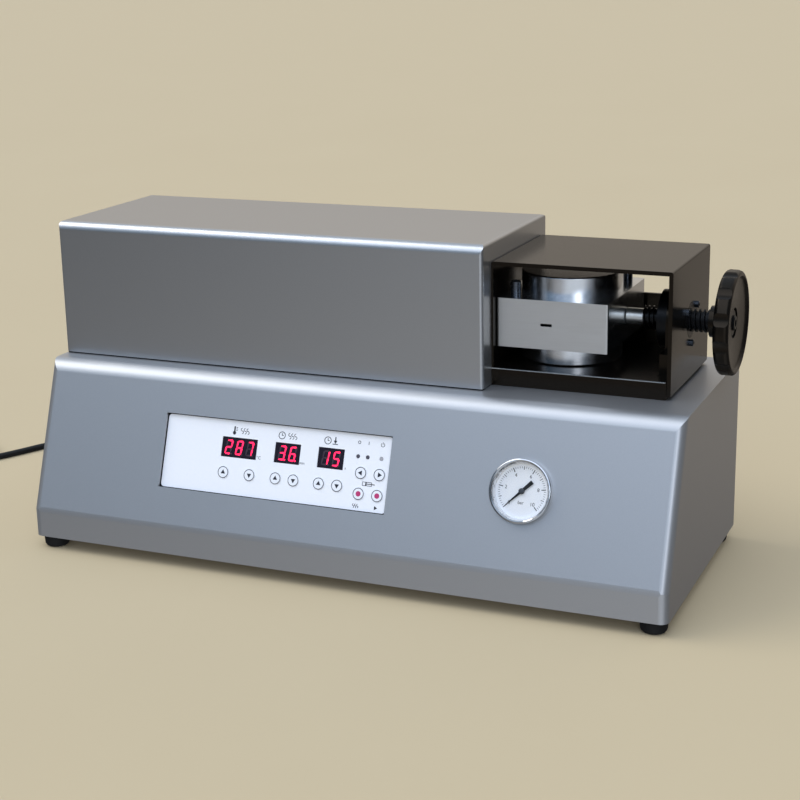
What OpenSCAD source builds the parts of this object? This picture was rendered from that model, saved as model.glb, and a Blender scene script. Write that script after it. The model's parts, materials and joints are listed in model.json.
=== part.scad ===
// Bench-top denture injection moulding machine.
// A heated barrel under the silver cover takes a resin cartridge and an air cylinder drives the plunger.
// A hand screw holds the aluminium flask against the barrel, in the black chamber at the right.
// Sizes are in millimetres: X runs along the machine to the handwheel, Y from front to back, Z up.

/* [Base housing] */
// Length of the base
base_l = 600; // [585:1:700]
// Depth of the base at its skirt
base_d = 248; // [240:1:300]
// Depth of the flat top, up to the edge where the top and the slope would meet
base_top_d = 200; // [195:1:215]
// Height of the base without its feet
base_h = 158; // [150:1:190]
// Height of the upright skirt below the sloped front
skirt_h = 26; // [15:1:40]
// Sheet thickness of the base and the cover
sheet_t = 2; // [1.2:0.1:2.5]
// Bend radius between the top and the sloped front
brow_r = 16; // [6:1:20]
// Bend radius between the sloped front and the skirt
heel_r = 15; // [4:1:18]
// Bend radius of the upright front corners
corner_r = 8; // [4:1:10]
// Width of the lip folded in round the bottom
lip_w = 28; // [27:1:40]
// Thickness of the floor plate
floor_t = 2; // [1:0.1:3]
// Diameter of a rubber foot
foot_d = 24; // [16:1:26]
// Height of a rubber foot
foot_h = 12; // [6:1:20]
// Rounding of a foot's lower edge
foot_r = 4; // [1:0.5:6]
// Distance of a foot's centre from the sides of the base
foot_inset = 14.5; // [14:0.5:15]

/* [Control panel] */
// Centre of the panel along the base
panel_x = 240; // [200:1:280]
// Centre of the panel and of the gauge, measured down the slope
panel_s = 72; // [65:1:80]
// Width of the panel's window
panel_w = 221; // [215:1:240]
// Height of the panel's window
panel_h = 67; // [62:1:74]
// Depth of the tray behind the window
tray_depth = 2; // [1:0.1:4]
// Thickness of the tray's sheet
tray_t = 1.5; // [1:0.1:2]
// Width of the tray's rim behind the window's edge
tray_rim = 9; // [6:1:12]
// Thickness of the white overlay
overlay_t = 0.8; // [0.5:0.1:1]
// Gap round the overlay in the tray
overlay_gap = 0.7; // [0.3:0.1:1.5]
// Corner radius of the overlay
overlay_r = 3; // [1:0.5:6]
// Height of the LED displays
display_h = 17.3; // [14:0.1:20]
// Width of the three-digit display
display_w3 = 34.4; // [30:0.1:38]
// Width of a two-digit display
display_w2 = 24.2; // [20:0.1:28]
// Diameter of a key
key_d = 10.8; // [8:0.1:12]
// Height of a key above the overlay
key_rise = 0.6; // [0.5:0.1:1.5]
// Travel of a key
key_travel = 0.5; // [0.2:0.1:0.5]
// Distance between two paired keys
key_pitch = 17.5; // [16:0.1:19]
// Distance between the two keys below the three-digit display
wide_pitch = 26; // [18:0.1:28]
// Diameter of an indicator light
light_d = 3; // [2:0.1:4]
// Thickness of the control board
board_t = 1.6; // [1:0.1:2]

/* [Pressure gauge] */
// Centre of the gauge along the base
gauge_x = 470; // [430:1:530]
// Diameter of the gauge's bezel
gauge_d = 54; // [53:1:60]
// Height of the bezel above the slope
gauge_rise = 6; // [5:0.5:10]
// Diameter of the case behind the slope
gauge_case_d = 50; // [46:1:51]
// Depth of the case behind the slope
gauge_depth = 26; // [22:1:40]
// Wall of the case
gauge_wall = 2; // [1:0.1:3]
// Length of the needle from its centre to its tip
needle_l = 17.5; // [12:0.5:20]
// Length of the needle's tail
needle_tail = 12; // [5:0.5:15]
// Diameter of the needle's arbor
arbor_d = 2; // [1.5:0.1:3]
// Length of the stem behind the case
stem_l = 12; // [8:1:16]
// Outside diameter of the lock ring behind the slope
lock_ring_d = 62; // [58:1:70]

/* [Upper cover] */
// Length of the cover
cover_l = 418.5; // [400:0.5:425]
// Depth of the cover
cover_d = 170; // [165:1:175]
// Height of the cover above the base
cover_h = 125; // [115:1:150]
// Distance of the cover from the back of the base
cover_back = 5; // [2:1:10]
// Bend radius of the cover's long top edges
cover_r = 8; // [3:1:12]
// Radius of the cover's other edges
cover_edge_r = 3; // [2.6:0.1:5]
// Width of the lip folded in round the cover's foot
cover_lip = 7; // [5:0.5:8]
// Thickness of the dark strip below the cover
strip_t = 1.2; // [0.5:0.1:3]
// Distance of the strip from the cover's outline
strip_inset = 1; // [0.5:0.1:2]

/* [Moulding chamber] */
// Distance of the chamber's mouth behind the cover's front
chamber_setback = 21; // [15:1:25]
// Sheet thickness of the hood and the back plate
hood_t = 3.5; // [2:0.1:5]
// Thickness of the hood's left wall, against the cover
left_wall_t = 1.8; // [1:0.1:5]
// Bend radius of the hood's outer edges
hood_r = 2; // [1:0.5:3]
// Gap below the hood's right wall
hood_lift = 3; // [1:0.5:6]
// Thickness of the bed plate
bed_t = 15.5; // [10:0.5:20]
// Distance of the bed plate from the left end of the base
bed_inset = 14; // [10:1:16]
// Room above the flask
head_room = 11.6; // [8:0.1:20]
// Height of the back plate above the base
back_h = 61; // [45:1:70]

/* [Flask] */
// Width of the flask's block, along the clamp screw
flask_w = 98.2; // [90:0.1:105]
// Depth of the flask's block
flask_d = 117; // [110:1:120]
// Height of half the block
flask_half_h = 21.2; // [18:0.1:25]
// Diameter of the round bosses
boss_d = 88; // [70:1:90]
// Height of a boss above its block
boss_h = 17.5; // [12:0.5:20]
// Diameter of the mould space inside
cavity_d = 72; // [50:1:76]
// Wall that closes a half's mould space
cavity_wall = 7; // [4:0.5:10]
// Diameter of the sprue bore
sprue_d = 10; // [6:0.5:14]
// Room before and behind the flask
flask_margin = 8; // [5:0.5:12]
// Diameter of a flask bolt
bolt_d = 6; // [4:0.5:8]
// Diameter of a flask bolt's head
bolt_head_d = 9; // [8:0.5:12]
// Height of a flask bolt's head
bolt_head_h = 12; // [6:0.5:14]
// Depth of a flask bolt in the lower half
bolt_grip = 14; // [8:0.5:16]
// Distance of a bolt from the block's left and right faces
bolt_side = 11; // [8:0.5:12]
// Distance of a bolt from the block's front and back
bolt_front = 18; // [9:0.5:20]
// Width of the pry slot in the front of the parting line
pry_w = 10; // [6:0.5:14]
// Height of the pry slot
pry_h = 2.4; // [1:0.1:4]

/* [Clamp screw] */
// Outside diameter of the screw's thread
screw_d = 20; // [16:0.5:22]
// Diameter of the pressure pad
pad_d = 14; // [12:0.5:16]
// Length of the pressure pad
pad_l = 16; // [9:0.5:20]
// Diameter of the screw's pin inside the pad
pin_d = 8; // [5:0.5:9]
// Length of the screw's pin inside the pad
pin_l = 6.5; // [4:0.5:7.5]
// Distance from the flask to the nut's flange
clamp_room = 32.4; // [31:0.1:40]
// Diameter of the nut's flange
nut_flange_d = 50; // [48:1:56]
// Thickness of the nut's flange
nut_flange_t = 8; // [5:0.5:12]
// Diameter of the nut's body
nut_d = 30; // [27:0.5:32]
// Thickness of the thrust plate
thrust_t = 12; // [8:0.5:16]
// Width of the thrust plate's foot
thrust_w = 87; // [70:1:100]
// Diameter of the nut screws
nut_screw_d = 4; // [3:0.5:5]
// Diameter of the nut screws' heads
nut_head_d = 6; // [6:0.5:9]
// Height of the nut screws' heads
nut_head_h = 3; // [2:0.5:6]
// Pitch circle of the nut screws
nut_pcd = 40; // [39.5:0.5:41]
// Distance from the chamber to the handwheel's hub
wheel_gap = 17.5; // [12:0.5:25]
// Diameter of the handwheel
wheel_d = 90; // [75:1:100]
// Thickness of the handwheel's rim
rim_t = 13.5; // [10:0.5:18]
// Radius of the rim's edges
rim_r = 4; // [2:0.5:4.5]
// Diameter of the hub
hub_d = 27; // [24:0.5:32]
// Length of the hub before the rim
hub_l = 10; // [6:0.5:16]
// Diameter of the screw's seat in the handwheel
seat_d = 14; // [10:0.5:15]
// Diameter of the recess in the handwheel's face
recess_d = 26; // [20:0.5:30]
// Depth of the recess in the handwheel's face
recess_depth = 6; // [3:0.5:8]
// Number of flutes round the rim
flutes = 12; // [8:1:16]
// Depth of a flute
flute_depth = 2; // [1:0.1:3]
// Diameter of the cutter that makes a flute
flute_d = 22; // [12:1:30]

/* [Injection unit] */
// Outside diameter of the heating barrel
barrel_d = 48; // [44:1:52]
// Bore of the heating barrel, for the cartridge
barrel_bore = 25.4; // [22:0.1:28]
// Length of the heating barrel
barrel_l = 123.5; // [115:0.5:130]
// Diameter of the barrel's flange
barrel_flange_d = 66; // [60:1:72]
// Thickness of the barrel's flange
barrel_flange_t = 7.5; // [5:0.5:10]
// Thickness of the nozzle plate
nozzle_t = 14; // [10:1:18]
// Width of the nozzle plate
nozzle_w = 96; // [84:1:110]
// Height of the nozzle plate above the axis
nozzle_top = 42; // [38:1:50]
// Wall of the heater band
band_t = 4; // [2:0.5:6]
// Length of the heater band
band_l = 72; // [50:1:75]
// Distance of the heater band from the barrel's rear end
band_inset = 12; // [5:1:14]
// Diameter of the thermocouple
probe_d = 5; // [3:0.5:6]
// Length of the thermocouple outside the barrel
probe_l = 18; // [10:1:25]
// Depth of the thermocouple in the barrel's wall
probe_depth = 7; // [4:0.5:8]
// Stroke of the plunger
stroke = 95; // [70:1:100]
// Bore of the air cylinder
cyl_bore = 63; // [50:1:64]
// Wall of the air cylinder's tube
cyl_wall = 2.5; // [2:0.1:3]
// Thickness of the air cylinder's rear cap
rear_cap_t = 25; // [20:1:30]
// Thickness of the air cylinder's front cap
front_cap_t = 28; // [20:1:32]
// Corner radius of the caps
cap_r = 8; // [4:1:9]
// Distance of the rear cap from the bed plate's end
cyl_inset = 10; // [8:1:16]
// Free room at each end of the piston's travel
end_room = 4; // [2:0.5:8]
// Width of the piston
piston_w = 22; // [14:1:26]
// Diameter of the piston rod
rod_d = 20; // [16:1:22]
// Diameter of the rod's ends in the piston and the plunger
spigot_d = 12; // [8:1:14]
// Length of the plunger
plunger_l = 28; // [22:1:32]
// Distance of the drawn-back plunger from the barrel
plunger_gap = 3; // [1:0.5:6]
// Diameter of a tie rod
tie_d = 8; // [6:0.5:8]
// Distance of the tie rods from the axis, across and up
tie_off = 29; // [28.5:0.5:29.5]
// Diameter of a tie rod's nut
tie_nut_d = 13; // [11:0.5:14]
// Height of a tie rod's nut
tie_nut_h = 6; // [4:0.5:8]

/* [Air and mains] */
// Outside diameter of the air hoses inside
hose_d = 6; // [4:0.5:7]
// Diameter of the push-in ports
port_d = 11; // [9:0.5:12]
// Length of the elbows below the air cylinder's axis
elbow_drop = 14; // [10:1:20]
// Length of the power supply
supply_l = 160; // [120:1:180]
// Depth of the power supply
supply_d = 90; // [70:1:95]
// Height of the power supply
supply_h = 38; // [30:1:45]
// Distance of the power supply from the left end of the base
supply_x = 260; // [220:1:280]
// Distance of the power supply from the back of the base
supply_back = 50; // [45:1:70]
// Length of the slots in the power supply's top
grille_l = 60; // [30:1:100]
// Centre of the solenoid valve along the base
valve_x = 110; // [100:1:120]
// Distance between the valve's ports
valve_pitch = 22; // [16:1:26]
// Height of the valve's block
valve_h = 30; // [20:1:40]
// Depth of the valve's block
valve_d = 26; // [20:1:28]
// Length of the valve's coil
valve_coil_l = 31; // [20:1:40]
// Height of the valve's ports
valve_port_h = 12; // [8:1:16]
// Distance of the valve's ports before the cylinder's elbows
valve_front = 15; // [10:1:18]
// Centre of the air inlet along the base
inlet_x = 470; // [440:1:500]
// Distance of the air inlet below the base's top
inlet_drop = 100; // [80:1:120]
// Bore of the air inlet, for an 8 mm hose
inlet_bore = 8; // [6:0.5:10]
// Diameter of the air inlet's collar and nut
inlet_nut_d = 20; // [18:0.5:24]
// Length of each arm of the air inlet's tee
tee_l = 20; // [16:1:24]
// Length of the air inlet behind the base
inlet_out = 18; // [12:1:21]
// Depth of the air inlet's bore
inlet_depth = 15; // [8:1:16]
// Centre of the mains switch along the base
switch_x = 250; // [200:1:400]
// Distance of the mains switch below the base's top
switch_drop = 70; // [50:1:100]
// Width of the mains switch's frame
switch_w = 15; // [13:0.5:20]
// Height of the mains switch's frame
switch_h = 21; // [19:0.5:28]
// Tilt of the rocker to each side
rocker_tilt = 8; // [5:1:10]
// Centre of the mains lead's gland along the base
gland_x = 58; // [50:1:70]
// Distance of the gland below the base's top
gland_drop = 120; // [110:1:130]
// Diameter of the gland's thread
gland_d = 16; // [14:0.5:16.5]
// Diameter of the gland's nuts
gland_nut_d = 22; // [20:0.5:26]
// Height of the gland's nuts
gland_nut_h = 5; // [4:0.5:8]
// Length of the gland behind the base
gland_out = 22; // [21.5:0.5:30]
// Diameter of the mains lead
cord_d = 6.5; // [6:0.1:6.7]

/* [Clearances] */
// Radial running clearance of shafts, keys, the piston and the plunger
run_clear = 0.05; // [0.02:0.01:0.1]
// Clearance between pieces that pass each other
free_clear = 0.3; // [0.2:0.05:0.4]

/* [Hidden] */
$fn = 64;

// Frame of the machine: x from the left end of the base, y from its back, z from its top face
slope_a = atan((base_d - base_top_d) / (base_h - skirt_h));
cover_y0 = -(cover_back + cover_d);
chamber_x0 = cover_l;
chamber_y0 = cover_y0 + chamber_setback;
chamber_d = flask_d + 2 * flask_margin;
chamber_y1 = chamber_y0 + chamber_d;
axis_y = chamber_y0 + chamber_d / 2;
axis_z = bed_t + boss_h + flask_half_h;
chamber_h = 2 * axis_z - bed_t + head_room + hood_t;
hood_x0 = chamber_x0 + left_wall_t;
flask_x0 = hood_x0 + free_clear;
flask_x1 = flask_x0 + flask_w;
pad_x0 = flask_x1 + free_clear;
nut_x0 = flask_x1 + clamp_room;
thrust_x0 = nut_x0 + nut_flange_t;
hood_x1 = thrust_x0 + thrust_t + free_clear;
chamber_x1 = hood_x1 + hood_t;
hub_x0 = chamber_x1 + wheel_gap;
rim_x0 = hub_x0 + hub_l;
wheel_x1 = rim_x0 + rim_t;
floor_z = -base_h + sheet_t;

// Places along the injection unit
flange_x1 = cover_l - sheet_t - free_clear;
nozzle_x1 = flange_x1 - barrel_flange_t;
barrel_x1 = hood_x0;
barrel_x0 = barrel_x1 - barrel_l;
band_x0 = barrel_x0 + band_inset;
probe_x = (band_x0 + band_l + nozzle_x1 - nozzle_t) / 2;
cyl_x0 = bed_inset + cyl_inset;
tube_x0 = cyl_x0 + rear_cap_t;
tube_x1 = tube_x0 + stroke + piston_w + 2 * end_room;
cyl_x1 = tube_x1 + front_cap_t;
piston_x0 = tube_x0 + end_room;
plunger_x1 = barrel_x0 - plunger_gap;
plunger_x0 = plunger_x1 - plunger_l;
cap_half = axis_z - bed_t;
hose_y = (chamber_y1 - cover_back - cover_lip) / 2;
elbow_z = axis_z - elbow_drop;
port_y = hose_y - valve_front;

// The part stands on Z = 0, with the middle of its box at the origin
mid_x = max(base_l, wheel_x1) / 2;
mid_y = (gland_out - base_d) / 2;

// Depths behind the slope's surface
tray_z = -sheet_t - tray_depth;
tray_back = tray_z - tray_t;
overlay_z = tray_z + overlay_t;
key_flange_t = 1;
key_flange_w = 1.1;
key_back = tray_back - run_clear - key_flange_t;
board_z = key_back - 3.5;
switch_gap = 0.2;
case_rim_z = gauge_rise - 3.5;
dial_z = case_rim_z - 4;
dial_t = 1;

// Places of the panel's pieces, from its centre: across, then up
display_y = 9;
display3_x = -35.5;
display2_x = [12, 54];
keypad_x = 92.4;
key_row = -13.4;
light_row = 13.5;
light_x = [-13, -4, 8.8];
key_list = [
  ["temperature_up_key", display3_x - wide_pitch / 2, key_row],
  ["temperature_down_key", display3_x + wide_pitch / 2, key_row],
  ["heating_up_key", display2_x[0] - key_pitch / 2, key_row],
  ["heating_down_key", display2_x[0] + key_pitch / 2, key_row],
  ["pressing_up_key", display2_x[1] - key_pitch / 2, key_row],
  ["pressing_down_key", display2_x[1] + key_pitch / 2, key_row],
  ["plunger_left_key", keypad_x - key_pitch / 2, 0],
  ["plunger_right_key", keypad_x + key_pitch / 2, 0],
  ["preheat_key", keypad_x - key_pitch / 2, -18],
  ["start_key", keypad_x + key_pitch / 2, -18]
];

// Coil of the lead's spare length: it winds in, climbs a layer and winds out again to the plug
cord_z = 3.4;
coil_x = -566;
coil_y = 64;
coil_in = 26.5;
loop_step = 7.9;
layer_step = 7.9;
enter_a = -31;
coil_turns = 6 + enter_a / 360;
climb_turns = 0.5;
layer_turns = (coil_turns - climb_turns) / 2;
coil_out = coil_in + loop_step * layer_turns;
rings_per_loop = 24;
coil_start = coil_point(0);
plug_x = coil_x + coil_out;
plug_y = 17;
plug_z = 14;

// Route of the mains lead over the table, from the gland to the coil, in the part's own frame
cord_route = [
  [-250, 135, 50], [-250, 148, 50], [-250, 163, 48], [-254, 178, 42], [-262, 191, 32],
  [-274, 202, 20], [-290, 209, 10], [-309, 212, 5], [-332, 211, cord_z], [-360, 207, cord_z],
  [-390, 199, cord_z], [-419, 186, cord_z], [-445, 168, cord_z], [-466, 146, cord_z],
  [-480, 123, cord_z], [-491, 100, cord_z], [-502, 79, cord_z], [-514, 58.5, cord_z], coil_start
];

function unit(v) = v / norm(v);

// Radius and height of the coil after some turns, and its point there
function coil_r(t) =
  t < layer_turns ? coil_out - loop_step * t
  : t < layer_turns + climb_turns ? coil_in
  : coil_in + loop_step * (t - layer_turns - climb_turns);
function coil_z(t) = cord_z + layer_step * min(max((t - layer_turns) / climb_turns, 0), 1);
function coil_point(t) =
  [coil_x + coil_r(t) * cos(enter_a - 360 * t), coil_y + coil_r(t) * sin(enter_a - 360 * t), coil_z(t)];

// One point of a smooth curve between its second and third points
function curve(a, b, c, d, t) =
  (2 * b + (c - a) * t + (2 * a - 5 * b + 4 * c - d) * t ^ 2 + (3 * b - a - 3 * c + d) * t ^ 3) / 2;
function smooth(p, n) = concat(
  [for (i = [0:len(p) - 2], k = [0:n - 1])
    curve(p[max(i - 1, 0)], p[i], p[i + 1], p[min(i + 2, len(p) - 1)], k / n)],
  [p[len(p) - 1]]);
function run_length(p) = len(p) < 2 ? 0 : [for (i = 1, s = norm(p[1] - p[0]); i < len(p);
  i = i + 1, s = s + (i < len(p) ? norm(p[i] - p[i - 1]) : 0)) s][len(p) - 2];
// Least distance between the surfaces of a tube's points that lie more than some points apart
function self_gap(p, d, apart) =
  min([for (i = [0:len(p) - 1], j = [i + apart:1:len(p) - 1]) norm(p[i] - p[j])]) - d;

coil_line = concat(
  [for (k = [0:round(coil_turns * rings_per_loop)]) coil_point(k / rings_per_loop
    * coil_turns * rings_per_loop / round(coil_turns * rings_per_loop))],
  [[plug_x, coil_y - 14, coil_z(coil_turns) + 0.3], [plug_x, coil_y - 28, plug_z - 0.7],
    [plug_x, plug_y + cord_d, plug_z], [plug_x, plug_y, plug_z]]);
cord_line = smooth(cord_route, 2);
echo(cord_length = run_length(cord_line) + run_length(coil_line));
echo(coil_least_gap = self_gap(coil_line, cord_d, 10));

// From the machine's corner frame to the part's own
module placed() {
  translate([-mid_x, -mid_y, base_h + foot_h]) children();
}

// A place on the sloped front: local X along the machine, Y up the slope, Z out of it
module on_slope(x, s) {
  translate([x, -base_top_d - s * sin(slope_a), -s * cos(slope_a)])
    rotate([90 - slope_a, 0, 0])
      children();
}

// The axis of the injection unit and the clamp screw: local Z runs along the machine
module on_axis(x) {
  translate([x, axis_y, axis_z]) rotate([0, 90, 0]) children();
}

module rod(x0, x1, d) {
  on_axis(x0) cylinder(d = d, h = x1 - x0);
}

// A place on the back of the base: local Z points backwards, Y up
module on_back(x, drop) {
  translate([x, 0, -drop]) rotate([90, 0, 180]) children();
}

// Convex outline with its corners rounded
module rounded_outline(points, radii) {
  n = len(points);
  before = [for (i = [0:n - 1]) unit(points[(i + n - 1) % n] - points[i])];
  after = [for (i = [0:n - 1]) unit(points[(i + 1) % n] - points[i])];
  half = [for (i = [0:n - 1]) acos(before[i] * after[i]) / 2];
  polygon([for (i = [0:n - 1], side = radii[i] > 0 ? [before[i], after[i]] : [[0, 0]])
    points[i] + side * radii[i] / tan(half[i])]);
  for (i = [0:n - 1])
    if (radii[i] > 0)
      translate(points[i] + unit(before[i] + after[i]) * radii[i] / sin(half[i])) circle(radii[i]);
}

// Rectangle about the origin with round corners
module rounded_rect(w, h, r) {
  rounded_outline([[-w, -h] / 2, [w, -h] / 2, [w, h] / 2, [-w, h] / 2], [r, r, r, r]);
}

// What a bend of this radius takes off a square corner at the origin
module corner_cut(r) {
  difference() {
    translate([-1, -1]) square(r + 1);
    translate([r, r]) circle(r);
  }
}

// Round tube along a line of points
module tube(line, d, sides) {
  n = len(line);
  ahead = [for (i = [0:n - 1]) unit(line[min(i + 1, n - 1)] - line[max(i - 1, 0)])];
  first = unit(cross(ahead[0], abs(ahead[0].z) < 0.9 ? [0, 0, 1] : [1, 0, 0]));
  across = [for (i = 0, v = first; i < n; i = i + 1,
    v = i < n ? unit(v - ahead[i] * (v * ahead[i])) : v) v];
  rings = [for (i = [0:n - 1], k = [0:sides - 1])
    line[i] + d / 2 * (across[i] * cos(360 * k / sides) + cross(ahead[i], across[i]) * sin(360 * k / sides))];
  walls = [for (i = [0:n - 2], k = [0:sides - 1], half = [0, 1])
    let (a = i * sides + k, b = i * sides + (k + 1) % sides)
      half == 0 ? [a, a + sides, b] : [b, a + sides, b + sides]];
  ends = [for (k = [1:sides - 2], far = [0, 1])
    let (o = far * (n - 1) * sides)
      far == 0 ? [o, o + k, o + k + 1] : [o, o + k + 1, o + k]];
  polyhedron(rings, concat(walls, ends));
}

// Outside form of the base, brought in on every side by an inset
module base_form(inset) {
  brow_y = -base_top_d + inset * (1 - sin(slope_a)) / cos(slope_a);
  front_y = -base_d + inset;
  heel_z = ((inset + base_top_d - base_d) * cos(slope_a) - inset) / sin(slope_a);
  difference() {
    translate([inset, 0, 0])
      rotate([90, 0, 90])
        linear_extrude(base_l - 2 * inset)
          rounded_outline(
            [[-inset, -inset], [brow_y, -inset], [front_y, heel_z], [front_y, inset - base_h],
              [-inset, inset - base_h]],
            [0, brow_r - inset, heel_r - inset, 0, 0]);
    for (right = [0, 1])
      translate([right * base_l, 0, 0])
        mirror([right, 0, 0])
          translate([inset, 0, 0]) {
            on_slope(0, 0)
              translate([0, base_h, -inset])
                rotate([90, 0, 0])
                  linear_extrude(3 * base_h)
                    mirror([0, 1])
                      corner_cut(corner_r - inset);
            translate([0, front_y, -base_h - 1])
              linear_extrude(base_h)
                corner_cut(corner_r - inset);
          }
  }
}

// Outside form of the cover, brought in on every side by an inset
module cover_form(inset) {
  w = cover_l - 2 * inset;
  d = cover_d - 2 * inset;
  h = cover_h - strip_t - 2 * inset;
  translate([cover_l / 2, cover_y0 + cover_d / 2, strip_t + inset])
    intersection() {
      linear_extrude(h) rounded_rect(w, d, cover_edge_r - inset);
      translate([-w / 2, 0, 0])
        rotate([90, 0, 90])
          linear_extrude(w)
            rounded_outline([[-d / 2, 0], [d / 2, 0], [d / 2, h], [-d / 2, h]],
              [0, 0, cover_r - inset, cover_r - inset]);
      translate([0, d / 2, 0])
        rotate([90, 0, 0])
          linear_extrude(d)
            rounded_outline([[-w / 2, 0], [w / 2, 0], [w / 2, h], [-w / 2, h]],
              [0, 0, cover_edge_r - inset, cover_edge_r - inset]);
    }
}

// Slot in the cover's end through which the bed plate runs
module bed_passage() {
  translate([cover_l - cover_lip - 1, chamber_y0 - free_clear, -1])
    cube([cover_lip + 2, chamber_d + 2 * free_clear, bed_t + free_clear + 1]);
}

module base_housing() {
  color("#93a0ad") placed() difference() {
    base_form(0);
    base_form(sheet_t);
    translate([lip_w, lip_w - base_d, -base_h - 1])
      cube([base_l - 2 * lip_w, base_d - 2 * lip_w, sheet_t + 2]);
    on_slope(panel_x, panel_s)
      cube([panel_w, panel_h, 4 * sheet_t], center = true);
    on_slope(gauge_x, panel_s)
      cylinder(d = gauge_case_d + 2 * free_clear, h = 4 * sheet_t, center = true);
    on_back(inlet_x, inlet_drop)
      cylinder(d = port_d + 2 + 2 * free_clear, h = 4 * sheet_t, center = true);
    on_back(gland_x, gland_drop)
      cylinder(d = gland_d + 2 * free_clear, h = 4 * sheet_t, center = true);
    on_back(switch_x, switch_drop)
      cube([switch_w - 2 + 2 * free_clear, switch_h - 2 + 2 * free_clear, 4 * sheet_t], center = true);
    for (x = [cyl_x0 + rear_cap_t / 2, tube_x1 + front_cap_t / 2])
      translate([x, hose_y, 0])
        cylinder(d = hose_d + 2, h = 4 * sheet_t, center = true);
  }
}

// Floor plate on the base's lips, with a field of cooling slots
module base_plate() {
  w = base_l - 2 * (sheet_t + free_clear);
  d = base_d - 2 * (sheet_t + free_clear);
  slot_w = 5;
  slot_l = 44;
  slot_pitch = 14;
  row_pitch = 60;
  field_x = 40;
  color("#6f7376") placed()
    translate([base_l / 2, -base_d / 2, floor_z])
      linear_extrude(floor_t)
        difference() {
          rounded_rect(w, d, corner_r);
          for (col = [-5.5:5.5], row = [-1, 1])
            translate([col * slot_pitch + field_x, row * row_pitch / 2])
              rounded_rect(slot_w, slot_l, slot_w / 2 - 0.1);
        }
}

module rubber_feet() {
  color("#1b1b1c") placed()
    for (x = [foot_inset, base_l - foot_inset], y = [foot_inset - base_d, -foot_inset])
      translate([x, y, -base_h - foot_h])
        rotate_extrude()
          difference() {
            rounded_outline([[0, 0], [foot_d / 2 - 1, 0], [foot_d / 2, foot_h], [0, foot_h]], [0, foot_r, 0, 0]);
            square([4.5, foot_h / 2]);
          }
}

// Shallow black tray that holds the overlay behind the window in the slope
module panel_carrier() {
  post_d = 6;
  post_inset = 4;
  color("#26282b") placed() on_slope(panel_x, panel_s) difference() {
    union() {
      translate([0, 0, -sheet_t - tray_t])
        linear_extrude(tray_t)
          rounded_rect(panel_w + 2 * tray_rim, panel_h + 2 * tray_rim, 4);
      translate([0, 0, tray_back])
        linear_extrude(tray_depth)
          rounded_rect(panel_w + 2 * tray_t, panel_h + 2 * tray_t, 2);
      for (x = [-1, 1], y = [-1, 1])
        translate([x * (panel_w / 2 - post_inset), y * (panel_h / 2 - post_inset), board_z])
          cylinder(d = post_d, h = tray_back - board_z);
    }
    translate([0, 0, tray_z + tray_depth])
      cube([panel_w, panel_h, 2 * tray_depth], center = true);
    panel_holes(tray_back - 1, tray_t + 2);
  }
}

// Windows and holes for the displays, keys and lights
module panel_holes(z, h) {
  translate([0, 0, z]) linear_extrude(h) {
    translate([display3_x, display_y])
      square([display_w3 + 2 * free_clear, display_h + 2 * free_clear], center = true);
    for (x = display2_x)
      translate([x, display_y])
        square([display_w2 + 2 * free_clear, display_h + 2 * free_clear], center = true);
    for (k = key_list)
      translate([k[1], k[2]]) circle(d = key_d + 2 * run_clear);
    for (x = light_x)
      translate([keypad_x + x, light_row]) circle(d = light_d + 2 * free_clear);
  }
}

module panel_overlay() {
  color("#eef2fb") placed() on_slope(panel_x, panel_s) difference() {
    translate([0, 0, tray_z])
      linear_extrude(overlay_t)
        rounded_rect(panel_w - 2 * overlay_gap, panel_h - 2 * overlay_gap, overlay_r);
    panel_holes(tray_z - 1, overlay_t + 2);
  }
}

// LED display that stands on the board and ends just below the overlay's face
module display(x, w) {
  color("#2a0a12") placed() on_slope(panel_x, panel_s)
    translate([x - w / 2, display_y - display_h / 2, board_z])
      cube([w, display_h, overlay_z - 0.2 - board_z]);
}

module temperature_display() {
  display(display3_x, display_w3);
}

module time_displays() {
  for (x = display2_x)
    display(x, display_w2);
}

module indicator_lights() {
  color("#c8324a") placed() on_slope(panel_x, panel_s)
    for (x = light_x)
      translate([keypad_x + x, light_row, board_z])
        cylinder(d = light_d, h = overlay_z + 0.3 - board_z);
}

// Board behind the tray, with a small switch below each key
module control_board() {
  color("#1f5a3a") placed() on_slope(panel_x, panel_s) {
    translate([0, 0, board_z - board_t])
      linear_extrude(board_t)
        rounded_rect(panel_w, panel_h, 2);
    for (k = key_list)
      translate([k[1], k[2], board_z]) {
        translate([-3, -3, -0.5]) cube([6, 6, 2.5]);
        cylinder(d = 3, h = key_back - key_travel - switch_gap - board_z);
      }
  }
}

// Key with a flange that stops it behind the tray
module panel_key(place) {
  color("#e9edf5") placed() on_slope(panel_x, panel_s)
    translate([place[1], place[2], key_back]) {
      cylinder(d = key_d + 2 * key_flange_w, h = key_flange_t);
      cylinder(d = key_d, h = overlay_z + key_rise - key_back);
    }
}

module gauge_case() {
  inner_d = gauge_case_d - 2 * gauge_wall;
  color("#3c3f42") placed() on_slope(gauge_x, panel_s) difference() {
    union() {
      translate([0, 0, -gauge_depth]) cylinder(d = gauge_case_d, h = gauge_depth + case_rim_z);
      translate([0, 0, -gauge_depth - stem_l]) cylinder(d = port_d + 2, h = stem_l + 1);
    }
    difference() {
      union() {
        translate([0, 0, dial_z]) cylinder(d = inner_d, h = gauge_depth);
        translate([0, 0, gauge_wall - gauge_depth]) cylinder(d = inner_d - 4, h = gauge_depth);
      }
      translate([0, 0, -gauge_depth]) cylinder(d = 8, h = gauge_depth + dial_z - 1.5);
    }
    translate([0, 0, dial_z - 12]) cylinder(d = arbor_d + 2 * run_clear, h = 12);
    translate([0, 0, -gauge_depth - stem_l - 1]) cylinder(d = 4, h = stem_l);
  }
}

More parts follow.
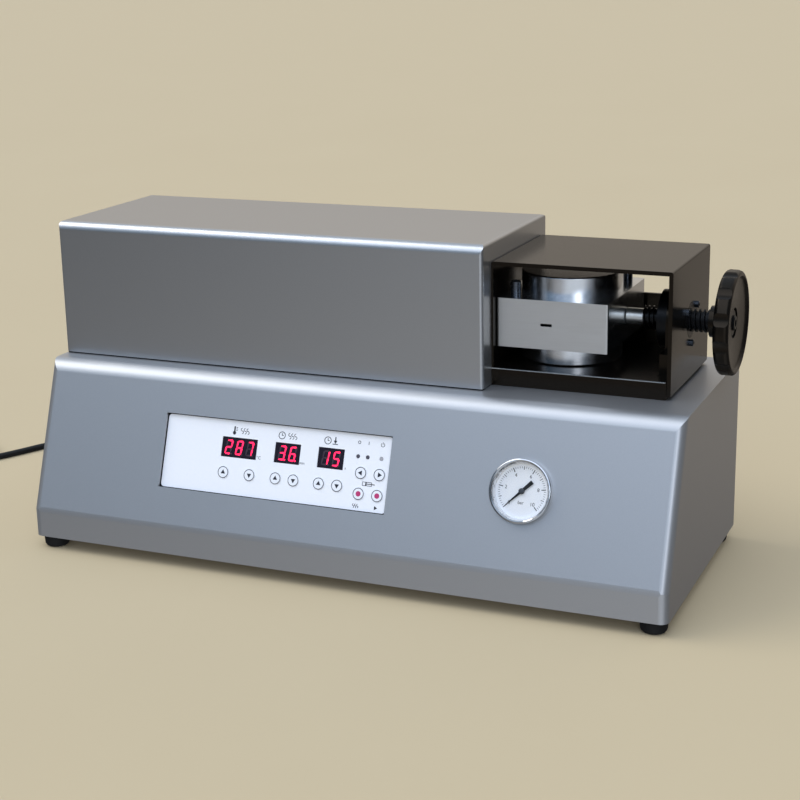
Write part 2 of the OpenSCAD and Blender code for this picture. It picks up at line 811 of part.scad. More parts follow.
module gauge_bezel() {
  color("#d5d8dc") placed() on_slope(gauge_x, panel_s)
    rotate_extrude()
      difference() {
        rounded_outline([[0, 0], [gauge_d / 2, 0], [gauge_d / 2, gauge_rise], [0, gauge_rise]], [0, 0, 2.5, 0]);
        translate([-1, -1]) square([gauge_case_d / 2 + run_clear + 1, gauge_rise - 0.5]);
        translate([-1, -1]) square([gauge_case_d / 2 - 1, gauge_rise + 2]);
      }
}

module gauge_dial() {
  color("#f6f6f2") placed() on_slope(gauge_x, panel_s)
    translate([0, 0, dial_z])
      difference() {
        cylinder(d = gauge_case_d - 2 * gauge_wall - 2 * run_clear, h = dial_t);
        translate([0, 0, -1]) cylinder(d = arbor_d + 2 * free_clear, h = dial_t + 2);
      }
}

module gauge_lens() {
  color("#dfe8ee", 0.4) placed() on_slope(gauge_x, panel_s)
    translate([0, 0, case_rim_z])
      cylinder(d = gauge_case_d, h = gauge_rise - 1.5 - case_rim_z);
}

// Needle at zero, pointing down to the left, with its arbor in the case's post
module gauge_needle() {
  blade_z = dial_z + dial_t + 0.6;
  color("#151515") placed() on_slope(gauge_x, panel_s) rotate([0, 0, 225]) {
    translate([0, 0, blade_z])
      linear_extrude(0.5)
        polygon([[-needle_tail, -1.7], [-needle_tail, 1.7], [0, 1.2], [needle_l, 0.25], [needle_l, -0.25],
          [0, -1.2]]);
    translate([0, 0, blade_z - 0.3]) cylinder(d = 5, h = 1.2);
    translate([0, 0, dial_z - 10]) cylinder(d = arbor_d, h = blade_z - dial_z + 10);
  }
}

module gauge_lock_ring() {
  color("#4a4d50") placed() on_slope(gauge_x, panel_s)
    translate([0, 0, -sheet_t - 6])
      difference() {
        cylinder(d = lock_ring_d, h = 6);
        translate([0, 0, -1]) cylinder(d = gauge_case_d + 2 * run_clear, h = 8);
        for (a = [0:60:300])
          rotate([0, 0, a]) translate([lock_ring_d / 2, 0, -1]) cylinder(d = 5, h = 8);
      }
}

module upper_cover() {
  color("#8d9196") placed() difference() {
    cover_form(0);
    cover_form(sheet_t);
    translate([cover_lip, cover_y0 + cover_lip, 0])
      cube([cover_l - 2 * cover_lip, cover_d - 2 * cover_lip, 2 * sheet_t + strip_t]);
    bed_passage();
    rod(cover_l - 2 * sheet_t, cover_l + 1, barrel_d + 4 * free_clear);
  }
}

// Dark strip that the cover stands on
module cover_strip() {
  color("#161719") placed() difference() {
    translate([cover_l / 2, cover_y0 + cover_d / 2, 0])
      linear_extrude(strip_t)
        difference() {
          square([cover_l - 2 * strip_inset, cover_d - 2 * strip_inset], center = true);
          square([cover_l - 2 * cover_lip, cover_d - 2 * cover_lip], center = true);
        }
    bed_passage();
  }
}

module bed_plate() {
  color("#1d1c1b") placed()
    translate([bed_inset, chamber_y0, 0])
      cube([hood_x1 - free_clear - bed_inset, chamber_d, bed_t]);
}

// Folded hood: left wall on the bed plate, top, and right wall past the bed plate's end
module chamber_hood() {
  color("#2b2926") placed() difference() {
    translate([0, chamber_y1, 0])
      rotate([90, 0, 0])
        linear_extrude(chamber_d)
          difference() {
            rounded_outline([[chamber_x0, hood_lift], [chamber_x1, hood_lift], [chamber_x1, chamber_h],
              [chamber_x0, chamber_h]], [0, 0, hood_r, hood_r]);
            translate([hood_x0, hood_lift - 1])
              square([hood_x1 - hood_x0, chamber_h - hood_t - hood_lift + 1]);
            translate([chamber_x0 - 1, hood_lift - 1])
              square([left_wall_t + 2, bed_t - hood_lift + 1]);
          }
    rod(chamber_x0 - 1, hood_x0 + 1, barrel_d + 2 * free_clear);
    rod(hood_x1 - 1, chamber_x1 + 1, nut_d + 2 * free_clear);
    nut_screw_places() cylinder(d = nut_screw_d + 2 * free_clear, h = hood_t + 2);
  }
}

// Low wall at the back, which leaves the window above it open
module chamber_back_plate() {
  color("#211f1d") placed()
    translate([hood_x0 + free_clear / 2, chamber_y1 - hood_t, bed_t])
      cube([hood_x1 - hood_x0 - free_clear, hood_t, back_h - bed_t]);
}

// The three nut screws: local Z along the machine, from just inside the hood's right wall
module nut_screw_places() {
  for (a = [30, 150, 270])
    translate([hood_x1 - 1, axis_y + nut_pcd / 2 * cos(a), axis_z + nut_pcd / 2 * sin(a)])
      rotate([0, 90, 0])
        children();
}

// Upright plate behind the nut that takes the screw's thrust down to the bed plate
module thrust_plate() {
  color("#24221f") placed() difference() {
    union() {
      rod(thrust_x0, thrust_x0 + thrust_t, nut_flange_d);
      translate([thrust_x0, axis_y - nut_flange_d / 2, bed_t])
        cube([thrust_t, nut_flange_d, axis_z - bed_t]);
      translate([thrust_x0, axis_y - thrust_w / 2, bed_t])
        cube([thrust_t, thrust_w, boss_h]);
    }
    rod(thrust_x0 - 1, thrust_x0 + thrust_t + 1, nut_d + 2 * run_clear);
    nut_screw_places()
      translate([0, 0, -thrust_t - 2])
        cylinder(d = nut_screw_d + 2 * free_clear, h = thrust_t + 4);
  }
}

module screw_nut() {
  color("#34312d") placed() difference() {
    union() {
      rod(nut_x0, thrust_x0, nut_flange_d);
      rod(thrust_x0 - 1, chamber_x1, nut_d);
    }
    rod(nut_x0 - 1, chamber_x1 + 1, screw_d + 2 * run_clear);
    nut_screw_places()
      translate([0, 0, nut_x0 - hood_x1])
        cylinder(d = nut_screw_d + 2 * run_clear, h = nut_flange_t + 2);
  }
}

module nut_screws() {
  color("#1a1a1a") placed() nut_screw_places() {
    translate([0, 0, nut_x0 + 2 - hood_x1])
      cylinder(d = nut_screw_d, h = chamber_x1 - nut_x0);
    translate([0, 0, hood_t + 1])
      cylinder(d = nut_head_d, h = nut_head_h);
  }
}

module pressure_pad() {
  color("#c9c9c6") placed() difference() {
    on_axis(pad_x0)
      rotate_extrude()
        rounded_outline([[0, 0], [pad_d / 2, 0], [pad_d / 2, pad_l], [0, pad_l]], [0, 1, 0.5, 0]);
    rod(pad_x0 + pad_l - pin_l - free_clear, pad_x0 + pad_l + 1, pin_d + 2 * run_clear);
  }
}

module clamp_spindle() {
  color("#232323") placed() {
    rod(pad_x0 + pad_l - pin_l, pad_x0 + pad_l + 1, pin_d);
    rod(pad_x0 + pad_l + run_clear, hub_x0 - run_clear, screw_d);
    rod(hub_x0 - 1, wheel_x1 - recess_depth, seat_d);
  }
}

module handwheel() {
  color("#171717") placed() on_axis(hub_x0) difference() {
    union() {
      cylinder(d = hub_d, h = hub_l + 1);
      translate([0, 0, hub_l])
        rotate_extrude()
          rounded_outline([[0, 0], [wheel_d / 2, 0], [wheel_d / 2, rim_t], [0, rim_t]], [0, rim_r, rim_r, 0]);
    }
    translate([0, 0, -1]) cylinder(d = seat_d + 2 * run_clear, h = hub_l + rim_t + 2);
    translate([0, 0, hub_l + rim_t - recess_depth]) cylinder(d = recess_d, h = recess_depth + 1);
    for (k = [0:flutes - 1])
      rotate([0, 0, (k + 0.5) * 360 / flutes])
        translate([wheel_d / 2 + flute_d / 2 - flute_depth, 0, hub_l - 1])
          cylinder(d = flute_d, h = rim_t + 2);
  }
}

// Places of the flask's bolts, at two opposite corners of the block
module flask_bolt_places() {
  for (side = [-1, 1])
    translate([(flask_x0 + flask_x1) / 2 + side * (flask_w / 2 - bolt_side),
      axis_y + side * (flask_d / 2 - bolt_front), axis_z])
      children();
}

// Lower half of the flask, from the parting plane down, with bolt holes of a given size
module flask_half(hole_d, hole_l) {
  depth = flask_half_h + boss_h - free_clear / 3;
  mid = (flask_x0 + flask_x1) / 2;
  difference() {
    union() {
      translate([mid, axis_y, axis_z - flask_half_h])
        linear_extrude(flask_half_h)
          rounded_rect(flask_w, flask_d, 2);
      translate([mid, axis_y, axis_z - depth])
        rotate_extrude()
          rounded_outline([[0, 0], [boss_d / 2, 0], [boss_d / 2, depth], [0, depth]], [0, 1.5, 0, 0]);
    }
    translate([mid, axis_y, axis_z - depth + cavity_wall])
      cylinder(d = cavity_d, h = depth);
    rod(flask_x0 - 1, mid, sprue_d);
    translate([mid - pry_w, axis_y - flask_d / 2 - 1, axis_z - pry_h / 2])
      cube([pry_w, 7, pry_h]);
    flask_bolt_places()
      translate([0, 0, -hole_l])
        cylinder(d = hole_d, h = hole_l + 1);
  }
}

module flask_lower() {
  color("#b4b4b2") placed() flask_half(bolt_d + 2 * run_clear, bolt_grip + 1);
}

module flask_upper() {
  color("#bcbcba") placed()
    translate([0, 0, 2 * axis_z])
      mirror([0, 0, 1])
        flask_half(bolt_d + 2 * free_clear, flask_half_h + 1);
}

module flask_bolts() {
  color("#6f747b") placed() flask_bolt_places() {
    translate([0, 0, -bolt_grip]) cylinder(d = bolt_d, h = bolt_grip + flask_half_h + 1);
    translate([0, 0, flask_half_h]) cylinder(d = bolt_head_d, h = bolt_head_h);
  }
}

// Plate that holds the heating barrel against the clamp screw's thrust
module nozzle_plate() {
  color("#55585b") placed() difference() {
    translate([nozzle_x1 - nozzle_t, axis_y, 0])
      rotate([90, 0, 90])
        linear_extrude(nozzle_t)
          rounded_outline([[-nozzle_w / 2, bed_t], [nozzle_w / 2, bed_t], [nozzle_w / 2, axis_z + nozzle_top],
            [-nozzle_w / 2, axis_z + nozzle_top]], [0, 0, 10, 10]);
    rod(nozzle_x1 - nozzle_t - 1, nozzle_x1 + 1, barrel_d + 2 * run_clear);
  }
}

module heating_barrel() {
  color("#8e8a84") placed() difference() {
    union() {
      rod(barrel_x0, barrel_x1, barrel_d);
      rod(nozzle_x1, flange_x1, barrel_flange_d);
    }
    rod(barrel_x0 - 1, barrel_x1 + 1, barrel_bore);
    translate([probe_x, axis_y, axis_z + barrel_d / 2 - probe_depth])
      cylinder(d = probe_d + 2 * run_clear, h = probe_depth + 1);
  }
}

// Clamped band round the barrel, with its gap and ears at the top
module heater_band() {
  band_d = barrel_d + 2 * band_t;
  color("#b28f55") placed() difference() {
    union() {
      rod(band_x0, band_x0 + band_l, band_d);
      translate([band_x0 + 6, axis_y - 5, axis_z + barrel_d / 2 + 1])
        cube([band_l - 12, 10, band_t + 9]);
    }
    rod(band_x0 - 1, band_x0 + band_l + 1, barrel_d + 2 * run_clear);
    translate([band_x0 - 1, axis_y - 1, axis_z + barrel_bore / 2])
      cube([band_l + 2, 2, barrel_d]);
  }
}

module thermocouple() {
  color("#a9abad") placed()
    translate([probe_x, axis_y, axis_z + barrel_d / 2]) {
      translate([0, 0, run_clear - probe_depth]) cylinder(d = probe_d, h = probe_depth + probe_l);
      translate([0, 0, run_clear]) cylinder(d = probe_d + 4, h = 5, $fn = 6);
    }
}

// Cap of the air cylinder that stands on the bed plate, with an elbow for its hose
module cylinder_cap(x0, t, bore) {
  difference() {
    union() {
      translate([x0, axis_y, axis_z])
        rotate([90, 0, 90])
          linear_extrude(t)
            rounded_rect(2 * cap_half, 2 * cap_half, cap_r);
      translate([x0 + t / 2, axis_y + cap_half - 1, axis_z])
        rotate([-90, 0, 0])
          cylinder(d = port_d, h = hose_y - axis_y - cap_half + 1);
      translate([x0 + t / 2, hose_y, axis_z])
        sphere(d = port_d);
      translate([x0 + t / 2, hose_y, elbow_z])
        cylinder(d = port_d, h = axis_z - elbow_z);
    }
    tie_places()
      translate([0, 0, x0 - 1])
        cylinder(d = tie_d + 2 * run_clear, h = t + 2);
    if (bore > 0)
      rod(x0 - 1, x0 + t + 1, bore);
  }
}

// The four tie rods: local Z along the machine, from the left end of the base
module tie_places() {
  for (y = [-1, 1], z = [-1, 1])
    translate([0, axis_y + y * tie_off, axis_z + z * tie_off])
      rotate([0, 90, 0])
        children();
}

module cylinder_rear_cap() {
  color("#a7a9ab") placed() cylinder_cap(cyl_x0, rear_cap_t, 0);
}

module cylinder_front_cap() {
  color("#a7a9ab") placed() cylinder_cap(tube_x1, front_cap_t, rod_d + 2 * run_clear);
}

module cylinder_tube() {
  color("#c3c6c8") placed() difference() {
    rod(tube_x0, tube_x1, cyl_bore + 2 * cyl_wall);
    rod(tube_x0 - 1, tube_x1 + 1, cyl_bore);
  }
}

module tie_rods() {
  color("#8b8d90") placed() tie_places() {
    translate([0, 0, cyl_x0 - tie_nut_h]) cylinder(d = tie_d, h = cyl_x1 - cyl_x0 + 2 * tie_nut_h);
    for (x = [cyl_x0 - tie_nut_h, cyl_x1])
      translate([0, 0, x]) cylinder(d = tie_nut_d, h = tie_nut_h, $fn = 6);
  }
}

module piston() {
  color("#303234") placed() difference() {
    rod(piston_x0, piston_x0 + piston_w, cyl_bore - 2 * run_clear);
    rod(piston_x0 - 1, piston_x0 + piston_w + 1, spigot_d + 2 * run_clear);
    for (x = [0.2, 0.6])
      translate([x * piston_w, 0, 0])
        difference() {
          rod(piston_x0, piston_x0 + 0.2 * piston_w, cyl_bore);
          rod(piston_x0 - 1, piston_x0 + piston_w, cyl_bore - 6);
        }
  }
}

module piston_rod() {
  color("#d0d2d4") placed() {
    rod(piston_x0, plunger_x0 + plunger_l / 2, spigot_d);
    rod(piston_x0 + piston_w, plunger_x0, rod_d);
  }
}

module plunger() {
  color("#9ea0a2") placed() difference() {
    on_axis(plunger_x0)
      rotate_extrude()
        rounded_outline([[0, 0], [barrel_bore / 2 - 2 * run_clear, 0],
          [barrel_bore / 2 - 2 * run_clear, plunger_l], [0, plunger_l]], [0, 0, 1, 0]);
    rod(plunger_x0 - 1, plunger_x0 + plunger_l / 2 + run_clear, spigot_d + 2 * run_clear);
  }
}

// Boxed supply on the floor plate, with its fan grille on the top
module power_supply() {
  slot_w = 4;
  slot_pitch = 9;
  slot_depth = 2;
  color("#b9bcbe") placed()
    translate([supply_x, -supply_back - supply_d, floor_z + floor_t])
      difference() {
        cube([supply_l, supply_d, supply_h]);
        for (row = [-2:2])
          translate([supply_l / 2, supply_d / 2 + row * slot_pitch, supply_h])
            cube([grille_l, slot_w, 2 * slot_depth], center = true);
      }
}

module solenoid_valve() {
  color("#6c7074") placed()
    translate([valve_x, port_y, floor_z + floor_t]) {
      translate([-1.5 * valve_pitch, -valve_d / 2, 0])
        cube([3 * valve_pitch, valve_d, valve_h]);
      translate([1.5 * valve_pitch - 1, 1 - valve_d / 2, 0])
        cube([valve_coil_l + 1, valve_d - 2, valve_h + 6]);
      for (k = [-1, 0, 1])
        translate([k * valve_pitch, 0, valve_h - 1])
          cylinder(d = port_d, h = valve_port_h + 1);
    }
}

// Hoses from the inlet to the valve and the gauge, and from the valve up to the cylinder's caps
module air_hoses() {
  port_z = floor_z + floor_t + valve_h + valve_port_h;
  tee_y = -sheet_t - tee_l;
  gauge_end = gauge_depth + stem_l;
  gauge_at = [gauge_x, -base_top_d - panel_s * sin(slope_a) + gauge_end * cos(slope_a),
    -panel_s * cos(slope_a) - gauge_end * sin(slope_a)];
  inward = [0, cos(slope_a), -sin(slope_a)];
  to_caps = [for (side = [-1, 1])
    let (x = side < 0 ? cyl_x0 + rear_cap_t / 2 : tube_x1 + front_cap_t / 2, v = valve_x + side * valve_pitch)
      [[x, hose_y, elbow_z], [x, hose_y, elbow_z - 20], [x, hose_y, -10], [x, hose_y, -30],
        [(3 * x + v) / 4, (3 * hose_y + port_y) / 4, -47], [(x + v) / 2, (hose_y + port_y) / 2, -60],
        [(x + 3 * v) / 4, (hose_y + 3 * port_y) / 4, port_z + 39], [v, port_y, port_z + 22],
        [v, port_y, port_z + 10], [v, port_y, port_z]]];
  supply = [[inlet_x - tee_l, tee_y, -inlet_drop], [inlet_x - tee_l - 15, tee_y, -inlet_drop],
    [inlet_x - 90, tee_y, 5 - inlet_drop], [valve_x + 130, port_y, port_z + 40],
    [valve_x + 60, port_y, port_z + 52], [valve_x + 25, port_y, port_z + 48],
    [valve_x + 5, port_y, port_z + 30], [valve_x, port_y, port_z + 12], [valve_x, port_y, port_z]];
  to_gauge = [gauge_at, gauge_at + 12 * inward, gauge_at + 40 * inward,
    [(gauge_x + inlet_x) / 2, tee_y - tee_l - 50, -inlet_drop],
    [inlet_x, tee_y - tee_l - 15, -inlet_drop], [inlet_x, tee_y - tee_l, -inlet_drop]];
  color("#2f5d9a") placed()
    for (route = concat(to_caps, [supply, to_gauge]))
      tube(smooth(route, 2), hose_d, 8);
}

// Push-in fitting through the back, with a tee inside for the valve and the gauge
module air_inlet() {
  color("#b5b8ba") placed() on_back(inlet_x, inlet_drop) difference() {
    union() {
      cylinder(d = inlet_nut_d, h = 5);
      translate([0, 0, 4]) cylinder(d = inlet_bore + 7, h = inlet_out - 4);
      translate([0, 0, -sheet_t - 2 * tee_l]) cylinder(d = port_d + 2, h = sheet_t + 2 * tee_l + 1);
      translate([0, 0, -sheet_t - 6]) cylinder(d = inlet_nut_d, h = 6, $fn = 6);
      translate([0, 0, -sheet_t - tee_l]) rotate([0, 90, 0]) cylinder(d = port_d, h = tee_l);
    }
    translate([0, 0, inlet_out - inlet_depth]) cylinder(d = inlet_bore, h = inlet_depth + 1);
  }
}

// Frame and body of the mains switch, open at the back for the rocker
module switch_case() {
  color("#202123") placed() on_back(switch_x, switch_drop) difference() {
    union() {
      linear_extrude(1.8) rounded_rect(switch_w, switch_h, 1);
      translate([1 - switch_w / 2, 1 - switch_h / 2, -17]) cube([switch_w - 2, switch_h - 2, 18]);
    }
    translate([3 - switch_w / 2, 2.5 - switch_h / 2, -8]) cube([switch_w - 6, switch_h - 5, 12]);
    rotate([0, 90, 0]) cylinder(d = 2 + 2 * run_clear, h = switch_w - 3, center = true);
  }
}

// Rocker on its two pins, tilted to off
module switch_rocker() {
  half = switch_h / 2 - 2.5 - 2 * free_clear;
  w = switch_w - 6 - 2 * free_clear;
  drop = half * tan(rocker_tilt);
  color("#2c2d30") placed() on_back(switch_x, switch_drop) rotate([rocker_tilt, 0, 0]) {
    translate([-w / 2, 0, 0])
      rotate([90, 0, 90])
        linear_extrude(w)
          polygon([[-half, 2.4 - drop], [0, 2.4], [half, 2.4 - drop], [half, -drop - 0.6], [0, -3],
            [-half, -drop - 0.6]]);
    rotate([0, 90, 0]) cylinder(d = 2, h = switch_w - 3 - 2 * free_clear, center = true);
  }
}

module cord_gland() {
  color("#1c1c1d") placed() on_back(gland_x, gland_drop) {
    cylinder(d = gland_nut_d, h = gland_nut_h, $fn = 6);
    translate([0, 0, gland_nut_h - 1])
      cylinder(d1 = 0.86 * gland_nut_d, d2 = cord_d + 4, h = gland_out - gland_nut_h + 1);
    translate([0, 0, -sheet_t - gland_nut_h]) cylinder(d = gland_d, h = sheet_t + gland_nut_h + 1);
    translate([0, 0, -sheet_t - gland_nut_h]) cylinder(d = gland_nut_d, h = gland_nut_h, $fn = 6);
  }
}

module power_cord() {
  color("#141414") tube(cord_line, cord_d, 8);
}

module cord_coil() {
  color("#141414") tube(coil_line, cord_d, 6);
}

// Moulded plug with three flat pins, lying on the table
module power_plug() {
  boot_l = 24;
  body_l = 34;
  body_w = 37;
  pin_size = [1.6, 6.4, 17];
  color("#161616") translate([plug_x, plug_y, plug_z]) rotate([90, 0, 0]) {
    cylinder(d1 = cord_d + 2.5, d2 = 2 * cord_d, h = boot_l + 1);
    translate([0, 0, boot_l])
      linear_extrude(body_l)
        rounded_rect(body_w, 2 * plug_z, 6);
    for (pin = [[-7, -4, 30], [7, -4, -30], [0, 7, 90]])
      translate([pin.x, pin.y, boot_l + body_l - 1])
        rotate([0, 0, pin.z])
          translate([-pin_size.x / 2, -pin_size.y / 2, 0])
            cube(pin_size + [0, 0, 1]);
  }
}

base_housing();
base_plate();
rubber_feet();
panel_carrier();
panel_overlay();
temperature_display();
time_displays();
indicator_lights();
control_board();
gauge_case();
gauge_bezel();
gauge_dial();
gauge_lens();
gauge_needle();
gauge_lock_ring();
upper_cover();
cover_strip();
bed_plate();
chamber_hood();
chamber_back_plate();
thrust_plate();
screw_nut();
nut_screws();
pressure_pad();
clamp_spindle();
handwheel();
flask_lower();
flask_upper();
flask_bolts();
nozzle_plate();
heating_barrel();
heater_band();
thermocouple();
cylinder_rear_cap();
cylinder_tube();
cylinder_front_cap();
tie_rods();
piston();
piston_rod();
plunger();
power_supply();
solenoid_valve();
air_hoses();
air_inlet();
switch_case();
switch_rocker();
cord_gland();
power_cord();
cord_coil();
power_plug();
for (k = key_list)
  panel_key(k);
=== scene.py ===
import json
import math

import bpy
from mathutils import Matrix, Vector


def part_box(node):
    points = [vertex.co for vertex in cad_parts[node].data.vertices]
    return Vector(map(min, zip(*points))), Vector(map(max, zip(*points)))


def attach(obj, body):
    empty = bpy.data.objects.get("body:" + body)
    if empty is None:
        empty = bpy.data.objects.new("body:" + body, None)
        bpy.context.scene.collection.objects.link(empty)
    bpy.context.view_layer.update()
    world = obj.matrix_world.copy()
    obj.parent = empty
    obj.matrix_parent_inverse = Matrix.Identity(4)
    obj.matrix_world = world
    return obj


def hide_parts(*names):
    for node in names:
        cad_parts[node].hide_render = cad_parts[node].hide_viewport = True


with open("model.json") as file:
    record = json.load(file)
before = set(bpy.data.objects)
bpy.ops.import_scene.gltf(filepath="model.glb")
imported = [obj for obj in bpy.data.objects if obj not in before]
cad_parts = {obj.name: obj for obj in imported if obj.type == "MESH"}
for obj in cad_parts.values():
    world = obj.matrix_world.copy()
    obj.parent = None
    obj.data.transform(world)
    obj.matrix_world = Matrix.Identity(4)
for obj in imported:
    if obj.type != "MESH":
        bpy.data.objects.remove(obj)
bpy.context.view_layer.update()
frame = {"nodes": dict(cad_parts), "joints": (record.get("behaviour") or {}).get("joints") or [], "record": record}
nodes = frame["nodes"]
BODY_OF = {n: b for b, members in frame["record"]["behaviour"]["bodies"].items() for n in members}
JOINTS = {j["name"]: j for j in frame["joints"]}
MM = 0.001
X_AXIS, Y_AXIS, Z_AXIS = Vector((1, 0, 0)), Vector((0, 1, 0)), Vector((0, 0, 1))

# Slope of the front: its outward normal, and the direction up the slope
SLOPE_OUT = -Vector(JOINTS["start_press"]["axis"])
SLOPE_UP = SLOPE_OUT.cross(X_AXIS)
# Points on the axes of the gauge's needle and of the clamp screw
GAUGE_HUB = Vector(JOINTS["gauge_needle_turn"]["pos_m"])
CLAMP_POINT = Vector(JOINTS["handwheel_spin"]["pos_m"])


def linked(name, data):
    """A new object in the scene."""
    made = bpy.data.objects.new(name, data)
    bpy.context.scene.collection.objects.link(made)
    return made


# Camera at the photograph's viewpoint, as right, up and back directions
CAMERA_PLACE = Vector((0.58028, -1.33277, 0.54859))
CAMERA_RIGHT = Vector((0.92053, 0.39023, -0.01906))
CAMERA_UP = Vector((-0.08673, 0.25172, 0.96395))
CAMERA_BACK = Vector((0.38089, -0.88564, 0.26556))
CAMERA_LENS, CAMERA_SENSOR = 74.45, 36
CAMERA_SHIFT_UP = -0.0175
CAMERA_REACH = 200


def make_camera():
    data = bpy.data.cameras.new("camera")
    data.lens = CAMERA_LENS
    data.sensor_width = CAMERA_SENSOR
    data.shift_y = CAMERA_SHIFT_UP
    data.clip_end = CAMERA_REACH
    camera = linked("camera", data)
    turn = Matrix((CAMERA_RIGHT, CAMERA_UP, CAMERA_BACK)).transposed()
    camera.matrix_world = Matrix.Translation(CAMERA_PLACE) @ turn.to_4x4()
    bpy.context.scene.camera = camera


make_camera()


# Modelling by hand: small steps that the pieces share
MERGE_GAP = 0.001 * MM        # points of a new piece that count as one
CAD_MERGE_GAP = 0.005 * MM    # the same on a copy of a CAD node
FLAT_DEG = 0.5                # faces that count as one flat
SHARP_DEG = 35                # edges that count as sharp


def deselect_all():
    bpy.ops.object.select_all(action="DESELECT")


def choose(piece):
    """Makes a piece the only one selected, and the active one."""
    deselect_all()
    piece.select_set(True)
    bpy.context.view_layer.objects.active = piece


def object_mode():
    bpy.ops.object.mode_set(mode="OBJECT")


def edit_all(piece):
    """Goes to edit mode with the whole mesh selected."""
    choose(piece)
    bpy.ops.object.mode_set(mode="EDIT")
    bpy.ops.mesh.select_all(action="SELECT")


def select_faces(piece, wanted):
    """Goes to edit mode with the faces selected that the test wants, by centre and normal."""
    choose(piece)
    bpy.ops.object.mode_set(mode="EDIT")
    bpy.ops.mesh.select_mode(type="FACE")
    bpy.ops.mesh.select_all(action="DESELECT")
    object_mode()
    for face in piece.data.polygons:
        face.select = wanted(face.center, face.normal)
    bpy.ops.object.mode_set(mode="EDIT")


def delete_faces(piece, wanted):
    select_faces(piece, wanted)
    bpy.ops.mesh.delete(type="FACE")
    object_mode()


def modify(piece, kind, **settings):
    """Adds a modifier with its settings and applies it."""
    choose(piece)
    modifier = piece.modifiers.new(kind.lower(), kind)
    for name, value in settings.items():
        setattr(modifier, name, value)
    bpy.ops.object.modifier_apply(modifier=modifier.name)


def bevel(piece, width, segments=2):
    modify(piece, "BEVEL", width=width, segments=segments, limit_method="ANGLE",
           angle_limit=math.radians(SHARP_DEG), use_clamp_overlap=True, harden_normals=False)


def cut_out(piece, tool):
    """Takes the shape of a tool out of a piece."""
    modify(piece, "BOOLEAN", object=tool, operation="DIFFERENCE", solver="EXACT")
    bpy.data.objects.remove(tool)


def smooth(piece, angle=SHARP_DEG):
    choose(piece)
    bpy.ops.object.shade_smooth_by_angle(angle=math.radians(angle))


def join(pieces):
    """Joins several pieces into one."""
    deselect_all()
    for piece in pieces:
        piece.select_set(True)
    bpy.context.view_layer.objects.active = pieces[0]
    if len(pieces) > 1:
        bpy.ops.object.join()
    return bpy.context.object


def settle(piece):
    """Puts a piece's place, turn and size into its mesh."""
    choose(piece)
    bpy.ops.object.transform_apply(location=True, rotation=True, scale=True)
    return piece


def put(piece, place):
    """Brings a piece that was made about the origin to its place."""
    piece.matrix_world = place @ piece.matrix_world
    return settle(piece)


def copy_of(piece):
    """A copy with its own mesh."""
    made = piece.copy()
    made.data = piece.data.copy()
    bpy.context.scene.collection.objects.link(made)
    return made


def finish_piece(piece, name, material, body):
    """Names a piece, and gives it its material and body."""
    piece.name = name
    piece.data.materials.clear()
    piece.data.materials.append(material)
    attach(piece, body)
    return piece


def stand_for(node, piece, name, material):
    """Finishes a piece that stands for a CAD node, on the node's body, and hides the node."""
    finish_piece(piece, name, material, BODY_OF[node])
    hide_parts(node)
    return piece


def refinish(piece, material, wanted):
    """Gives another material to the faces that the test wants, by centre and normal."""
    piece.data.materials.append(material)
    for face in piece.data.polygons:
        if wanted(face.center, face.normal):
            face.material_index = len(piece.data.materials) - 1


def merged_copy(node):
    """A copy of a CAD node, its loose triangles merged."""
    piece = copy_of(nodes[node])
    for key in list(piece.keys()):
        del piece[key]
    piece.parent = None
    edit_all(piece)
    bpy.ops.mesh.remove_doubles(threshold=CAD_MERGE_GAP)
    bpy.ops.mesh.customdata_custom_splitnormals_clear()
    object_mode()
    return piece


def reworked(node, piece, name, material):
    """Shades a reworked copy of a CAD node, which then stands for the node."""
    smooth(piece)
    modify(piece, "WEIGHTED_NORMAL", keep_sharp=True)
    return stand_for(node, piece, name, material)


def softened(node, name, material, width, segments=2):
    """A copy of a CAD node with its sharp edges rounded."""
    piece = merged_copy(node)
    edit_all(piece)
    bpy.ops.mesh.dissolve_limited(angle_limit=math.radians(FLAT_DEG))
    object_mode()
    bevel(piece, width, segments)
    return reworked(node, piece, name, material)


def swept(profile, steps, **settings):
    """Sweeps radius and height pairs in metres round Z."""
    mesh = bpy.data.meshes.new("swept")
    line = [(i, i + 1) for i in range(len(profile) - 1)]
    mesh.from_pydata([(r, 0, z) for r, z in profile], line, [])
    piece = linked("swept", mesh)
    modify(piece, "SCREW", axis="Z", angle=math.radians(360), steps=steps, render_steps=steps,
           use_merge_vertices=True, merge_threshold=MERGE_GAP, **settings)
    return piece


def turned(profile, steps=64):
    """A solid of revolution about Z, from radius and height pairs in metres."""
    piece = swept(profile, steps)
    edit_all(piece)
    bpy.ops.mesh.remove_doubles(threshold=MERGE_GAP)
    bpy.ops.mesh.normals_make_consistent(inside=False)
    object_mode()
    return piece


# Places: matrices that carry a piece from the origin to where it sits

def frame_at(origin, across, up):
    """Matrix of a flat place: local X across, Y up, Z out of the surface."""
    out = across.cross(up)
    return Matrix.Translation(origin) @ Matrix((across, up, out)).transposed().to_4x4()


def along(origin, axis):
    """Matrix whose local Z runs along a level axis."""
    side = Z_AXIS.cross(axis).normalized()
    return frame_at(origin, side, axis.cross(side))


def on_screw(x, across=0.0, up=0.0):
    """Matrix of a place on the clamp screw's axis, or beside it, with local Z along the screw."""
    return along(Vector((x, CLAMP_POINT.y + across, CLAMP_POINT.z + up)), X_AXIS)


def on_slope(origin):
    """Matrix of a place on the sloped front."""
    return frame_at(origin, X_AXIS, SLOPE_UP)


def slope_heights(node, origin):
    """Lowest and highest distance of a node from a point, square to the slope."""
    heights = [(v.co - origin).dot(SLOPE_OUT) for v in nodes[node].data.vertices]
    return min(heights), max(heights)


